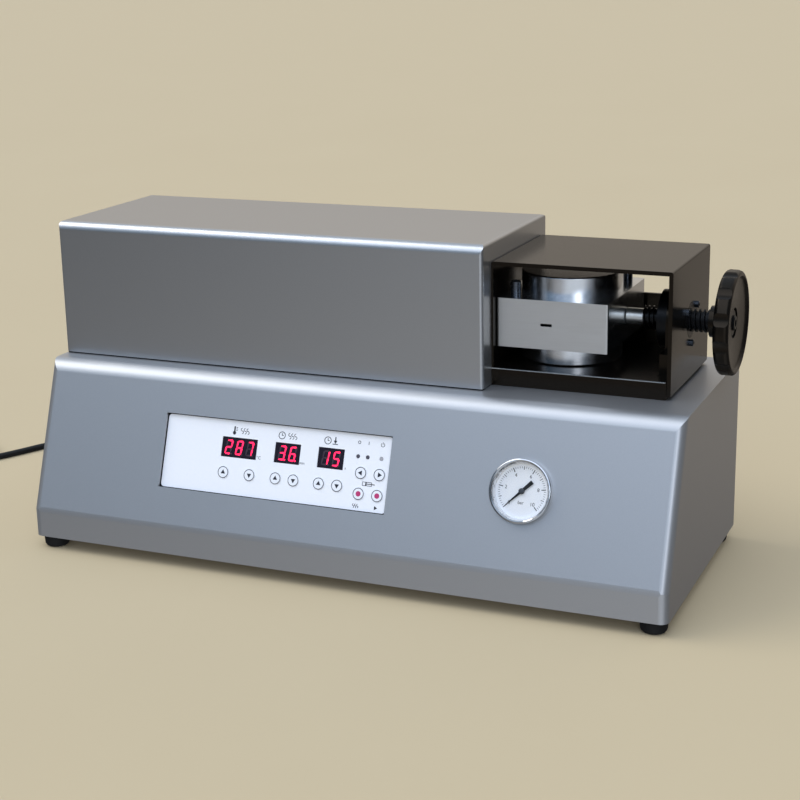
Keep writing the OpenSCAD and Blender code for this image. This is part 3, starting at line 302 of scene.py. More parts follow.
def on_face(node, shift_mm=0):
    """Matrix of the middle of a node's outer face on the slope, moved along X."""
    low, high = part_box(node)
    centre = (low + high) / 2
    top = slope_heights(node, centre)[1]
    return on_slope(centre + SLOPE_OUT * top + X_AXIS * shift_mm * MM)


# Materials: every one starts from what the real surface is made of. Grain and relief have their real size,
# but flakes, grit and skins under about half a millimetre would not show, so they are drawn that coarse
NOISE_LOW, NOISE_HIGH = 0.3, 0.7    # range that most of a noise lies in
GRAIN_DETAIL, RELIEF_DETAIL = 3.0, 2.0


def colour(code):
    """Linear RGBA of an sRGB hex colour."""
    parts = [int(code[i:i + 2], 16) / 255 for i in (1, 3, 5)]
    linear = [c / 12.92 if c <= 0.04045 else ((c + 0.055) / 1.055) ** 2.4 for c in parts]
    return (*linear, 1.0)


def per_metre(size_mm):
    """Texture scale that gives features of this size."""
    return 1000 / size_mm


def add(owner, kind, settings=None, inputs=None):
    """Adds a node to a material or the world. Settings are its own, and an input given a socket is linked."""
    made = owner.node_tree.nodes.new(kind)
    for name, value in (settings or {}).items():
        setattr(made, name, value)
    for name, value in (inputs or {}).items():
        if isinstance(value, bpy.types.NodeSocket):
            owner.node_tree.links.new(value, made.inputs[name])
        else:
            made.inputs[name].default_value = value
    return made


def surface(name, base, second, grain, rough, relief=None, stretch=(1, 1, 1), shader=None):
    """A finish of two close colours in a grain of this many millimetres, with its roughness range.
    Relief is its height and size in millimetres, and stretch draws the pattern out along an axis."""
    material = bpy.data.materials.new(name)
    material.use_nodes = True
    tree = material.node_tree
    principled = tree.nodes["Principled BSDF"]
    place = add(material, "ShaderNodeTexCoord").outputs["Object"]
    drawn = add(material, "ShaderNodeMapping", {}, {"Vector": place, "Scale": stretch}).outputs["Vector"]
    noise = add(material, "ShaderNodeTexNoise", {}, {
        "Vector": drawn, "Scale": per_metre(grain), "Detail": GRAIN_DETAIL}).outputs["Fac"]
    tone = add(material, "ShaderNodeMix", {"data_type": "RGBA"}, {0: noise, 6: colour(base), 7: colour(second)})
    tree.links.new(tone.outputs[2], principled.inputs["Base Color"])
    gloss = add(material, "ShaderNodeMapRange", {}, {
        "Value": noise, "From Min": NOISE_LOW, "From Max": NOISE_HIGH, "To Min": rough[0], "To Max": rough[1]})
    tree.links.new(gloss.outputs["Result"], principled.inputs["Roughness"])
    if relief:
        height, size = relief
        waves = add(material, "ShaderNodeTexNoise", {}, {
            "Vector": drawn, "Scale": per_metre(size), "Detail": RELIEF_DETAIL})
        bump = add(material, "ShaderNodeBump", {}, {
            "Height": waves.outputs["Fac"], "Strength": 1.0, "Distance": height * MM})
        tree.links.new(bump.outputs["Normal"], principled.inputs["Normal"])
    for socket, value in (shader or {}).items():
        principled.inputs[socket].default_value = value
    return material


METAL = {"Metallic": 1.0}
# Specular tint of dark gloss: a painted reflection of the warm table, which the floor doesn't give because it is
# hidden from reflections
PAINTED_TABLE_REFLECTION_TINT = colour("#ffe6c8")    # dark gloss that takes the warm tone of the table

# Aluminium-flake enamel, sprayed and baked: a neutral silver with a soft sheen and faint orange peel
silver_enamel = surface("silver_flake_enamel", "#b0b1b3", "#bbbcbe", 0.9, (0.38, 0.45), (0.004, 2.6),
                        shader={"Metallic": 0.82, "Coat Weight": 0.15, "Coat Roughness": 0.15})
# The same enamel on the cover: a little smoother, so it mirrors the room more clearly
cover_enamel = surface("grey_flake_enamel", "#b4b5b6", "#bfc0c1", 0.9, (0.29, 0.35), (0.004, 2.6),
                       shader={"Metallic": 0.9, "Coat Weight": 0.15, "Coat Roughness": 0.12})
# Black baked enamel on steel sheet: deep black with a satin sheen and a fine peel, its gloss tinted warm as a
# painted reflection of the table
black_enamel = surface("satin_black_enamel", "#0a0807", "#0f0d0b", 1.2, (0.16, 0.22), (0.002, 2.2),
                       shader={"Specular IOR Level": 0.26, "Specular Tint": PAINTED_TABLE_REFLECTION_TINT})
# Matt black of the panel's tray, painted shade on the walls of the recess round the overlay: no clear reflection, a
# fine grit
painted_shade_tray = surface("matt_black_painted_shade_tray", "#101114", "#17181b", 1.0, (0.5, 0.6), (0.004, 1.2))
# Zinc-plated steel sheet: bright, with a cloudy spangle
zinc = surface("zinc_plated_sheet", "#a9adb0", "#c2c5c7", 6.0, (0.28, 0.42), (0.003, 3.0), shader=METAL)
# Moulded rubber: matt black with a fine skin
rubber = surface("black_rubber", "#0a0a0a", "#101010", 1.5, (0.6, 0.75), (0.02, 0.9),
                 shader={"Specular IOR Level": 0.3})
# Polyester overlay film with a velvet face: clean cool white and a soft sheen
film = surface("white_polyester_film", "#f4f7ff", "#fafbff", 2.0, (0.38, 0.46), (0.003, 0.6))
# The film over the keys, polished a little by fingers
key_film = surface("rubbed_polyester_film", "#f1f5fe", "#f8faff", 2.0, (0.36, 0.44), (0.003, 0.6))
# Screen-printed inks: flat and even, softer than the film
ink = surface("dark_printed_ink", "#1c1d28", "#262734", 0.8, (0.45, 0.55))
ring_ink = surface("grey_printed_ink", "#2e3140", "#3a3d4c", 0.8, (0.45, 0.55))
red_ink = surface("red_printed_ink", "#b8306a", "#c83c78", 0.8, (0.42, 0.5))
# Tinted acrylic before the LED digits: nearly black and glossy
filter_acrylic = surface("tinted_acrylic", "#150a16", "#1d0d1c", 3.0, (0.16, 0.22))
# Diffusing epoxy of the LED segments: a dull plum when off, a glowing red when lit
segment_off = surface("unlit_led_epoxy", "#352732", "#3f2e3a", 0.8, (0.3, 0.4))
segment_on = surface("lit_led_epoxy", "#ff1f56", "#ff3a6a", 0.8, (0.3, 0.4),
                     shader={"Emission Color": colour("#ff1748"), "Emission Strength": 1.6})
# Moulded epoxy lenses of the small lights, unlit: smoked ones, and a clear one for power
light_lens = surface("smoked_led_epoxy", "#4e4a55", "#5d5963", 0.6, (0.18, 0.26))
clear_lens = surface("clear_led_epoxy", "#a9a7ae", "#b9b7bd", 0.6, (0.18, 0.26))
# Solder mask on a circuit board: glossy green, wavy over its tracks
board_green = surface("green_solder_mask", "#0f4a2c", "#145a36", 3.0, (0.3, 0.4), (0.01, 1.2))
# Black enamelled steel of the gauge's case: plain and half matt
gauge_black = surface("black_gauge_enamel", "#17181a", "#202124", 1.0, (0.35, 0.45), (0.004, 1.4))
# Polished chromium plate: a mirror, a little darker than silver
chrome = surface("polished_chrome", "#bfc1c4", "#c6c8cb", 20.0, (0.05, 0.09), shader=METAL)
# White enamel of the dial and of the case's inside: smooth and half matt
dial_enamel = surface("white_dial_enamel", "#f6f9ff", "#fcfdff", 3.0, (0.4, 0.5))
# Clear acrylic lens: seen only by what it mirrors
lens_glass = surface("clear_acrylic", "#0a0c0e", "#0e1013", 30.0, (0.02, 0.04), shader={"Alpha": 0.04})
# Black enamel on the needle, and its turned steel cap, which catches a dull light
needle_black = surface("black_needle_enamel", "#0b0b0c", "#121213", 0.8, (0.35, 0.45))
needle_cap_grey = surface("turned_cap_steel", "#4b4e52", "#5b5e62", 0.5, (0.3, 0.4), shader={"Metallic": 0.8})
# Turned bronze of the heater band: warm, with fine tool lines round it
bronze = surface("turned_bronze", "#a07a3c", "#b58e4c", 1.0, (0.25, 0.38), (0.003, 0.6), (1, 6, 6), METAL)
# Oil-blackened steel: near black, with an oily sheen. Laid in the flask's slot too, as painted shade
black_steel_and_painted_shade = surface("blackened_steel_and_painted_shade", "#0f0f10", "#1a1a1b", 1.4, (0.28, 0.42), (0.003, 0.8),
                      shader={"Metallic": 0.7})
# Ground bright steel: light grey, with fine lines across its length. Laid on the bed plate's front edge too, as
# wear and as a painted highlight line
bright_steel_and_painted_highlight = surface("ground_bright_steel_and_painted_highlight", "#b9b9b6", "#c9c9c6", 0.7, (0.2, 0.3), (0.002, 0.5), (8, 1, 1), METAL)
# Moulded phenolic resin: black with a brown tinge, polished by hands, its gloss tinted warm as a painted reflection
# of the table
phenolic = surface("moulded_black_phenolic", "#090808", "#0f0e0d", 5.0, (0.2, 0.26), (0.002, 4.0),
                   shader={"Specular IOR Level": 0.25, "Specular Tint": PAINTED_TABLE_REFLECTION_TINT})
# Aluminium: ground to a satin on the flask's front and back, and polished on its other faces
flask_metal = surface("ground_aluminium", "#cbc8c4", "#d5d3cf", 0.9, (0.46, 0.54), (0.002, 0.9), (0.05, 1, 1),
                      {"Metallic": 0.9})
flask_polish = surface("polished_aluminium", "#dde0e4", "#e6e9ec", 6.0, (0.2, 0.27), shader=METAL)
# Turned aluminium of the pressure pad, dulled by use
pad_metal = surface("turned_aluminium", "#d9dad6", "#e4e5e1", 0.6, (0.36, 0.44), (0.002, 0.5), (1, 6, 6), METAL)
# Blued steel of the screws: dark blue-grey, smooth
bolt_steel = surface("blued_bolt_steel", "#4d5259", "#5b6068", 1.2, (0.22, 0.32), shader={"Metallic": 0.9})
# Anodised aluminium of the air cylinder and valve: an even satin grey
cylinder_metal = surface("anodised_aluminium", "#aaadb0", "#b6b9bc", 1.0, (0.3, 0.4), (0.002, 0.8), shader=METAL)
# Nickel plate of the air inlet and the plug's pins: bright and slightly yellow
nickel = surface("nickel_plate", "#b0b0aa", "#c2c2bc", 8.0, (0.14, 0.22), shader=METAL)
# Extruded polyurethane hose: strong blue and smooth
hose_blue = surface("blue_polyurethane", "#1c4c90", "#24579e", 3.0, (0.25, 0.35), (0.003, 1.5))
# Moulded nylon of the switch, gland and tie: black, with a spark-eroded grain
switch_plastic = surface("black_nylon", "#121214", "#1a1a1c", 1.0, (0.35, 0.48), (0.006, 0.8))
# Soft PVC sheath of the mains lead and its plug: black and half matt
lead_pvc = surface("soft_black_pvc", "#0a0a0b", "#111112", 2.0, (0.42, 0.55), (0.004, 1.2),
                   shader={"Specular IOR Level": 0.35})
# White paint of the marks on the rocker: flat and matt
mark_white = surface("white_mark_paint", "#d8d8d4", "#e4e4e0", 0.8, (0.45, 0.55))
# Moulded acetal of the air inlet's collar: blue, half matt
collar_blue = surface("moulded_blue_acetal", "#1d4f9c", "#2559a6", 1.0, (0.3, 0.4), (0.003, 1.0))

NODE_FINISH = {
    "base_housing": silver_enamel, "upper_cover": cover_enamel, "bed_plate": black_enamel,
    "chamber_hood": black_enamel, "chamber_back_plate": black_enamel, "thrust_plate": black_enamel,
    "base_plate": zinc, "power_supply": zinc, "nozzle_plate": zinc, "rubber_feet": rubber, "cover_strip": rubber,
    "panel_carrier": painted_shade_tray, "panel_overlay": film, "temperature_display": filter_acrylic,
    "time_displays": filter_acrylic, "indicator_lights": light_lens, "control_board": board_green,
    "gauge_case": gauge_black, "gauge_lock_ring": gauge_black, "gauge_bezel": chrome, "gauge_dial": dial_enamel,
    "gauge_lens": lens_glass, "gauge_needle": needle_black, "screw_nut": black_steel_and_painted_shade, "heater_band": bronze,
    "nut_screws": black_steel_and_painted_shade, "clamp_spindle": black_steel_and_painted_shade, "piston": black_steel_and_painted_shade, "pressure_pad": pad_metal,
    "heating_barrel": bright_steel_and_painted_highlight, "thermocouple": bright_steel_and_painted_highlight, "piston_rod": bright_steel_and_painted_highlight,
    "plunger": bright_steel_and_painted_highlight, "tie_rods": bright_steel_and_painted_highlight, "flask_bolts": bolt_steel, "handwheel": phenolic,
    "flask_lower": flask_metal, "flask_upper": flask_metal, "cylinder_rear_cap": cylinder_metal,
    "cylinder_tube": cylinder_metal, "cylinder_front_cap": cylinder_metal, "air_inlet": nickel,
    "solenoid_valve": cylinder_metal, "air_hoses": hose_blue, "switch_case": switch_plastic,
    "switch_rocker": switch_plastic, "cord_gland": switch_plastic, "power_plug": lead_pvc,
    "power_cord": lead_pvc, "cord_coil": lead_pvc,
}
KEYS = [n for n in nodes if n.endswith("_key")]
for node_name, node_object in nodes.items():
    node_object.data.materials.clear()
    node_object.data.materials.append(key_film if node_name in KEYS else NODE_FINISH[node_name])


# Mains lead: the route over the table and the coil that puts its spare length away, in millimetres
CORD_D, CORD_RESOLUTION = 6.5 * MM, 4
CORD_Z = 3.4
COIL_X, COIL_Y = -566, 64
COIL_IN, LOOP_STEP, LAYER_STEP = 26.5, 7.9, 7.9
ENTER_DEG = -31
COIL_TURNS = 6 + ENTER_DEG / 360
CLIMB_TURNS = 0.5
LAYER_TURNS = (COIL_TURNS - CLIMB_TURNS) / 2
COIL_OUT = COIL_IN + LOOP_STEP * LAYER_TURNS
RINGS_PER_LOOP = 48
PLUG_X, PLUG_Y, PLUG_Z = COIL_X + COIL_OUT, 17, 14


def coil_point(turn):
    """Point of the coil: it winds in, climbs a layer and winds out again."""
    if turn < LAYER_TURNS:
        radius = COIL_OUT - LOOP_STEP * turn
    else:
        radius = COIL_IN + LOOP_STEP * max(turn - LAYER_TURNS - CLIMB_TURNS, 0)
    height = CORD_Z + LAYER_STEP * min(max((turn - LAYER_TURNS) / CLIMB_TURNS, 0), 1)
    a = math.radians(ENTER_DEG - 360 * turn)
    return (COIL_X + radius * math.cos(a), COIL_Y + radius * math.sin(a), height)


COIL_END = coil_point(COIL_TURNS)
CORD_ROUTE = [
    (-250, 135, 50), (-250, 148, 50), (-250, 163, 48), (-254, 178, 42), (-262, 191, 32), (-274, 202, 20),
    (-290, 209, 10), (-309, 212, 5), (-332, 211, CORD_Z), (-360, 207, CORD_Z), (-390, 199, CORD_Z),
    (-419, 186, CORD_Z), (-445, 168, CORD_Z), (-466, 146, CORD_Z), (-480, 123, CORD_Z), (-491, 100, CORD_Z),
    (-502, 79, CORD_Z), (-514, 58.5, CORD_Z), coil_point(0),
]
PLUG_ROUTE = [
    COIL_END, (PLUG_X, COIL_Y - 14, COIL_END[2] + 0.3), (PLUG_X, COIL_Y - 28, PLUG_Z - 0.7),
    (PLUG_X, PLUG_Y + 6.5, PLUG_Z), (PLUG_X, PLUG_Y, PLUG_Z),
]
CORD_STEPS, PLUG_STEPS = 5, 4    # points of the curve between two points of a route


def smooth_run(points, steps):
    """Points of a smooth curve through the given ones."""
    points = [Vector(p) for p in points]
    made = []
    for i in range(len(points) - 1):
        a, b, c = points[max(i - 1, 0)], points[i], points[i + 1]
        d = points[min(i + 2, len(points) - 1)]
        for k in range(steps):
            t = k / steps
            made.append((2 * b + (c - a) * t + (2 * a - 5 * b + 4 * c - d) * t ** 2
                         + (3 * b - a - 3 * c + d) * t ** 3) / 2)
    return made


def make_mains_lead():
    """The lead as one round curve, and its length in metres."""
    rings = round(COIL_TURNS * RINGS_PER_LOOP)
    line = smooth_run(CORD_ROUTE, CORD_STEPS)
    line += [Vector(coil_point(COIL_TURNS * k / rings)) for k in range(rings + 1)]
    line += smooth_run(PLUG_ROUTE, PLUG_STEPS)[1:] + [Vector(PLUG_ROUTE[-1])]
    data = bpy.data.curves.new("mains_lead", "CURVE")
    data.dimensions = "3D"
    data.bevel_depth = CORD_D / 2
    data.bevel_resolution = CORD_RESOLUTION
    data.use_fill_caps = True
    spline = data.splines.new("POLY")
    spline.points.add(len(line) - 1)
    for spot, point in zip(spline.points, line):
        spot.co = (*(point * MM), 1)
    lead = linked("mains_lead", data)
    data.materials.append(lead_pvc)
    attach(lead, "base")
    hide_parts("power_cord", "cord_coil")
    length = sum((b - a).length for a, b in zip(line, line[1:])) * MM
    return lead, length


PLUG_EDGE = 1.4 * MM
PIN_L = 16.9 * MM


def make_plug():
    """The plug with soft edges and bright pins."""
    plug = softened("power_plug", "mains_plug", lead_pvc, PLUG_EDGE, 3)
    pin_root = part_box("power_plug")[0].y + PIN_L
    refinish(plug, nickel, lambda c, n: c.y < pin_root)
    return plug


# Tie of the coil: where it sits, its room round the turns, its strap and its head
TIE_DEG = 100
TIE_SIDE_ROOM, TIE_TOP_ROOM, TIE_FLOOR_GAP = 4.2, 4.4, 0.03 * MM
TIE_BEND, TIE_W, TIE_T = 4 * MM, 3.6 * MM, 0.9 * MM
TIE_HEAD = (6 * MM, 4.4 * MM, 5 * MM)
TIE_HEAD_RISE, TIE_HEAD_EDGE = 0.6 * MM, 0.6 * MM


def make_coil_tie():
    """Flat nylon tie round the coil's turns, with its square head on the top."""
    angle = math.radians(TIE_DEG)
    half_band = LOOP_STEP * LAYER_TURNS / 2
    half_w = (half_band + TIE_SIDE_ROOM) * MM
    high = (CORD_Z + LAYER_STEP + TIE_TOP_ROOM) * MM
    half_h = (high - TIE_FLOOR_GAP) / 2
    outward = Vector((math.cos(angle), math.sin(angle), 0))
    spot = Vector((COIL_X, COIL_Y, 0)) * MM + outward * (COIL_IN + half_band) * MM
    spot += Z_AXIS * (TIE_FLOOR_GAP + high) / 2
    deselect_all()
    bpy.ops.mesh.primitive_plane_add(size=2)
    strap = bpy.context.object
    strap.scale = (half_w, half_h, 1)
    edit_all(settle(strap))
    bpy.ops.mesh.bevel(offset=TIE_BEND, segments=6, affect="VERTICES")
    bpy.ops.mesh.delete(type="ONLY_FACE")
    bpy.ops.mesh.select_all(action="SELECT")
    bpy.ops.mesh.extrude_region_move(TRANSFORM_OT_translate={"value": (0, 0, TIE_W)})
    bpy.ops.mesh.select_all(action="SELECT")
    bpy.ops.mesh.normals_make_consistent(inside=False)
    object_mode()
    modify(strap, "SOLIDIFY", thickness=TIE_T, offset=-1)
    deselect_all()
    bpy.ops.mesh.primitive_cube_add(size=1, location=(0, half_h + TIE_HEAD_RISE, TIE_W / 2))
    head = bpy.context.object
    head.scale = TIE_HEAD
    bevel(settle(head), TIE_HEAD_EDGE)
    tie = put(join([strap, head]), frame_at(spot, outward, Z_AXIS))
    smooth(tie)
    return finish_piece(tie, "coil_tie", switch_plastic, "base")


lead, lead_length = make_mains_lead()
plug = make_plug()
coil_tie = make_coil_tie()


# Flat ink marks, drawn in millimetres about the origin and laid on a surface later
INK_T = 0.06 * MM
RING_CORNERS = 72
CAPITAL_SHARE = 0.7    # height of a capital in the size of its letters


def disc(x, y, r, corners=48, turn=0.0):
    """Filled round or polygon."""
    deselect_all()
    bpy.ops.mesh.primitive_circle_add(vertices=corners, radius=r * MM, fill_type="NGON",
                                      location=(x * MM, y * MM, 0), rotation=(0, 0, math.radians(turn)))
    return bpy.context.object


def triangle(x, y, r, turn):
    return disc(x, y, r, 3, turn)


def ring(x, y, r, width, gap_deg=0):
    """Flat ring, with a gap at its top if one is given."""
    piece = settle(disc(x, y, r, RING_CORNERS))
    edit_all(piece)
    bpy.ops.mesh.inset(thickness=width * MM)
    bpy.ops.mesh.delete(type="FACE")
    object_mode()
    if gap_deg:
        middle, half_gap = Vector((x, y, 0)) * MM, math.radians(gap_deg / 2)
        delete_faces(piece, lambda c, n: abs((c - middle).to_2d().angle_signed(Vector((0, 1)))) < half_gap)
    return piece


def bar(x, y, w, h, turn=0.0):
    """Flat bar about its centre."""
    deselect_all()
    bpy.ops.mesh.primitive_plane_add(size=1, location=(x * MM, y * MM, 0), rotation=(0, 0, math.radians(turn)))
    piece = bpy.context.object
    piece.scale = (w * MM, h * MM, 1)
    return settle(piece)


def words(x, y, text, height):
    """Generic numbers or a unit, centred, with capitals of this height."""
    deselect_all()
    bpy.ops.object.text_add(location=(0, 0, 0))
    piece = bpy.context.object
    piece.data.body = text
    piece.data.size = height * MM / CAPITAL_SHARE
    piece.data.align_x = "CENTER"
    piece.data.align_y = "CENTER"
    bpy.ops.object.convert(target="MESH")
    piece = bpy.context.object
    piece.location = (x * MM, y * MM, 0)
    return settle(piece)


def lay_ink(name, marks, place, material, body):
    """Joins flat marks, gives them the thickness of an ink film and lays them on a surface."""
    piece = join([settle(mark) for mark in marks])
    select_faces(piece, lambda c, n: n.z < 0)
    bpy.ops.mesh.flip_normals()
    object_mode()
    modify(piece, "SOLIDIFY", thickness=INK_T, offset=1)
    put(piece, place)
    return finish_piece(piece, name, material, body)


# Signs of the panel, each about its own middle
CLOCK_R = 3.4
WAVE_STEP, WAVE_RISE, WAVE_R, WAVE_LINE = 1.7, 0.68, 0.9, 0.55


def thermometer(x, y):
    marks = [disc(x, y - 2.3, 1.6, 24), bar(x, y + 0.6, 1.4, 4.8), disc(x, y + 3.0, 0.7, 16)]
    return marks + [bar(x + 2.2, y + k * 1.3, 1.6, 0.5) for k in (0, 1, 2)]


def clock(x, y):
    return [ring(x, y, CLOCK_R, 0.65), bar(x, y + 0.9, 0.6, 2.2), bar(x + 0.7, y, 1.8, 0.6)]


def heat_waves(x, y, size):
    """Three upright waves, each of two half rings."""
    marks = []
    for k in (-1, 0, 1):
        middle = x + k * WAVE_STEP * size
        for side in (1, -1):
            half = ring(middle, y + side * WAVE_RISE * size, WAVE_R * size, WAVE_LINE)
            delete_faces(half, lambda c, n: side * (c.x - middle * MM) > 0)
            marks.append(half)
    return marks


def press_arrow(x, y):
    return [triangle(x, y - 0.9, 1.9, 180), bar(x, y + 1.6, 1.0, 3.2), bar(x, y - 3.1, 5.0, 0.7)]


def cylinder_sign(x, y):
    """Outline of an air cylinder with its piston and rod."""
    tube = [bar(x - 1, y + 1.5, 9, 0.5), bar(x - 1, y - 1.5, 9, 0.5)]
    caps = [bar(x - 5.3, y, 0.5, 3.4), bar(x + 3.3, y, 0.5, 3.4)]
    return tube + caps + [bar(x - 2, y, 1.2, 2.6), bar(x + 2.3, y, 8.0, 0.7)]


def power_sign(x, y):
    return [ring(x, y, 1.9, 0.5, 70), bar(x, y + 1.2, 0.5, 2.0)]


# Heights of the print's rows above the panel's middle
SIGN_ROW, LIGHT_ROW, CYLINDER_ROW, START_ROW = 24.2, 25.6, -9.3, -28.9
DISPLAY_WAVES, KEY_WAVES = 1.7, 1.15


def make_panel_print():
    """Signs over the displays, units beside them, and signs by the lights and the keys at the right."""
    marks = thermometer(-42.0, SIGN_ROW) + heat_waves(-31.6, SIGN_ROW, DISPLAY_WAVES)
    marks += clock(5, SIGN_ROW) + heat_waves(15.4, SIGN_ROW, DISPLAY_WAVES)
    marks += clock(49.4, SIGN_ROW) + press_arrow(56.6, SIGN_ROW + 0.4)
    marks += [words(-15.4, 2.2, "°C", 2.7), words(27.2, 2.0, "min", 2.4), words(68.6, 2.0, "s", 2.4)]
    marks += [ring(79.3, LIGHT_ROW, 1.4, 0.5), bar(88.2, LIGHT_ROW, 0.55, 2.8)]
    marks += power_sign(101.2, LIGHT_ROW - 0.2) + cylinder_sign(91.6, CYLINDER_ROW)
    marks += heat_waves(82.0, START_ROW, KEY_WAVES) + [triangle(100.6, START_ROW, 2.0, -90)]
    lay_ink("panel_print", marks, on_face("panel_overlay"), ink, "base")


KEY_ARROWS = {"_up_key": 0, "_down_key": 180, "_left_key": 90, "_right_key": -90}
KEY_RING_R, KEY_RING_W = 5.15, 0.6
KEY_DOT_R, KEY_ARROW_R = 2.3, 2.5


def make_key_prints():
    """A ring near the edge of each key, and an arrow or a dot in its middle."""
    for key in KEYS:
        place, body = on_face(key), BODY_OF[key]
        lay_ink(key + "_ring", [ring(0, 0, KEY_RING_R, KEY_RING_W)], place, ring_ink, body)
        turn = next((t for ending, t in KEY_ARROWS.items() if key.endswith(ending)), None)
        if turn is None:
            lay_ink(key + "_dot", [disc(0, 0, KEY_DOT_R)], place, red_ink, body)
        else:
            lay_ink(key + "_arrow", [triangle(0, 0, KEY_ARROW_R, turn)], place, ink, body)


make_panel_print()
make_key_prints()

# Seven-segment digits, slanted as LED digits are, in millimetres
DIGIT_H, DIGIT_W, DIGIT_STROKE, DIGIT_SLANT = 13.2, 6.6, 1.55, math.radians(8)
SEGMENT_GAP = 0.3
POINT_R, POINT_GAP = 0.85, 0.4
SEGMENT_PLACES = {
    "a": (0, 1, 0), "b": (0.5, 0.5, 90), "c": (0.5, -0.5, 90), "d": (0, -1, 0), "e": (-0.5, -0.5, 90),
    "f": (-0.5, 0.5, 90), "g": (0, 0, 0),
}
LIT_SEGMENTS = {"1": "bc", "2": "abged", "3": "abgcd", "5": "afgcd", "6": "afgcde", "7": "abc", "8": "abcdefg"}
TIME_DISPLAY_STEP = 21


def segment(x, y, length, turn):
    """One LED segment: a long hexagon."""
    piece = disc(0, 0, DIGIT_STROKE / math.sqrt(3), 6)
    for v in piece.data.vertices:
        v.co.x += math.copysign((length - DIGIT_STROKE) / 2 * MM, v.co.x)
    place = Matrix.Translation((x * MM, y * MM, 0)) @ Matrix.Rotation(math.radians(turn), 4, "Z")
    return put(piece, place)


def make_digits(name, node, offset, text, pitch, points=()):
    """The digits on a display, with lit and unlit segments as two pieces."""
    width, half_h = DIGIT_W - DIGIT_STROKE, (DIGIT_H - DIGIT_STROKE) / 2
    slant = Matrix.Identity(4)
    slant[0][1] = math.tan(DIGIT_SLANT)
    lit, unlit = [], []
    for k, digit in enumerate(text):
        x = (k - (len(text) - 1) / 2) * pitch
        for letter, (u, v, turn) in SEGMENT_PLACES.items():
            run = width if turn == 0 else half_h
            made = segment(x + u * width, v * half_h, run - SEGMENT_GAP, turn)
            (lit if letter in LIT_SEGMENTS[digit] else unlit).append(made)
        point = settle(disc(x + DIGIT_W / 2 + POINT_GAP, -half_h, POINT_R, 20))
        (lit if k in points else unlit).append(point)
    for made in lit + unlit:
        made.data.transform(slant)
    place = on_face(node, offset)
    lay_ink(name + "_lit", lit, place, segment_on, "base")
    lay_ink(name + "_unlit", unlit, place, segment_off, "base")


make_digits("temperature_digits", "temperature_display", 0, "287", 10.4)
make_digits("heating_digits", "time_displays", -TIME_DISPLAY_STEP, "36", 10.2, points=(0, 1))
make_digits("pressing_digits", "time_displays", TIME_DISPLAY_STEP, "15", 10.2)


# Pressure gauge: printed dial, the needle's cap, bezel and case. Ticks are length and width in millimetres
GAUGE_ZERO, GAUGE_SWEEP = 225, 270
DIAL_STEPS, SMALL_STEPS = 10, 5
NUMBERED_TICK, WHOLE_TICK, SMALL_TICK = (3.8, 0.7), (2.8, 0.5), (1.7, 0.3)
TICK_END, NUMBER_R, NUMBER_H = 20.6, 14.2, 3.0
UNIT_Y, UNIT_H = -9.5, 2.8


def make_dial_print():
    """Ticks from 0 to 10, a number at every second whole one, and the unit."""
    marks = []
    for k in range(DIAL_STEPS * SMALL_STEPS + 1):
        a = GAUGE_ZERO - GAUGE_SWEEP * k / (DIAL_STEPS * SMALL_STEPS)
        out_x, out_y = math.cos(math.radians(a)), math.sin(math.radians(a))
        whole, part = divmod(k, SMALL_STEPS)
        numbered = part == 0 and whole % 2 == 0
        length, width = NUMBERED_TICK if numbered else SMALL_TICK if part else WHOLE_TICK
        r = TICK_END - length / 2
        marks.append(bar(r * out_x, r * out_y, length, width, a))
        if numbered:
            marks.append(words(NUMBER_R * out_x, NUMBER_R * out_y, str(whole), NUMBER_H))
    marks.append(words(0, UNIT_Y, "bar", UNIT_H))
    lay_ink("dial_print", marks, on_face("gauge_dial"), needle_black, "base")


CAP_R, CAP_H, CAP_Z = 2.3 * MM, 0.7 * MM, 0.3 * MM
CAP_INSET, CAP_CROWN, CAP_EDGE = 0.9 * MM, 0.15 * MM, 0.15 * MM


def make_needle_cap():
    """Small crowned cap over the needle's hub."""
    deselect_all()
    bpy.ops.mesh.primitive_cylinder_add(vertices=40, radius=CAP_R, depth=CAP_H, location=(0, 0, CAP_Z))
    cap = bpy.context.object
    select_faces(cap, lambda c, n: n.z > 0.9)
    bpy.ops.mesh.inset(thickness=CAP_INSET)
    bpy.ops.transform.translate(value=(0, 0, CAP_CROWN))
    object_mode()
    bevel(cap, CAP_EDGE)
    smooth(cap)
    put(cap, on_slope(GAUGE_HUB + SLOPE_OUT * slope_heights("gauge_needle", GAUGE_HUB)[1]))
    finish_piece(cap, "needle_cap", needle_cap_grey, "needle")


BEZEL_FOOT, BEZEL_TOP = slope_heights("gauge_bezel", GAUGE_HUB)
BEZEL_OUTER, BEZEL_SKIRT, BEZEL_WINDOW, BEZEL_EDGE = 27.0 * MM, 25.1 * MM, 24.4 * MM, 1.5 * MM
BEZEL_CHAMFER, BEZEL_LIP = 0.9 * MM, 1.45 * MM    # depths of the window's edges below the top
CASE_SHOWN = 1 * MM                               # depth below the panel that the lens shows
BEZEL_STEPS, BEZEL_EDGE_STEP_DEG = 96, 15


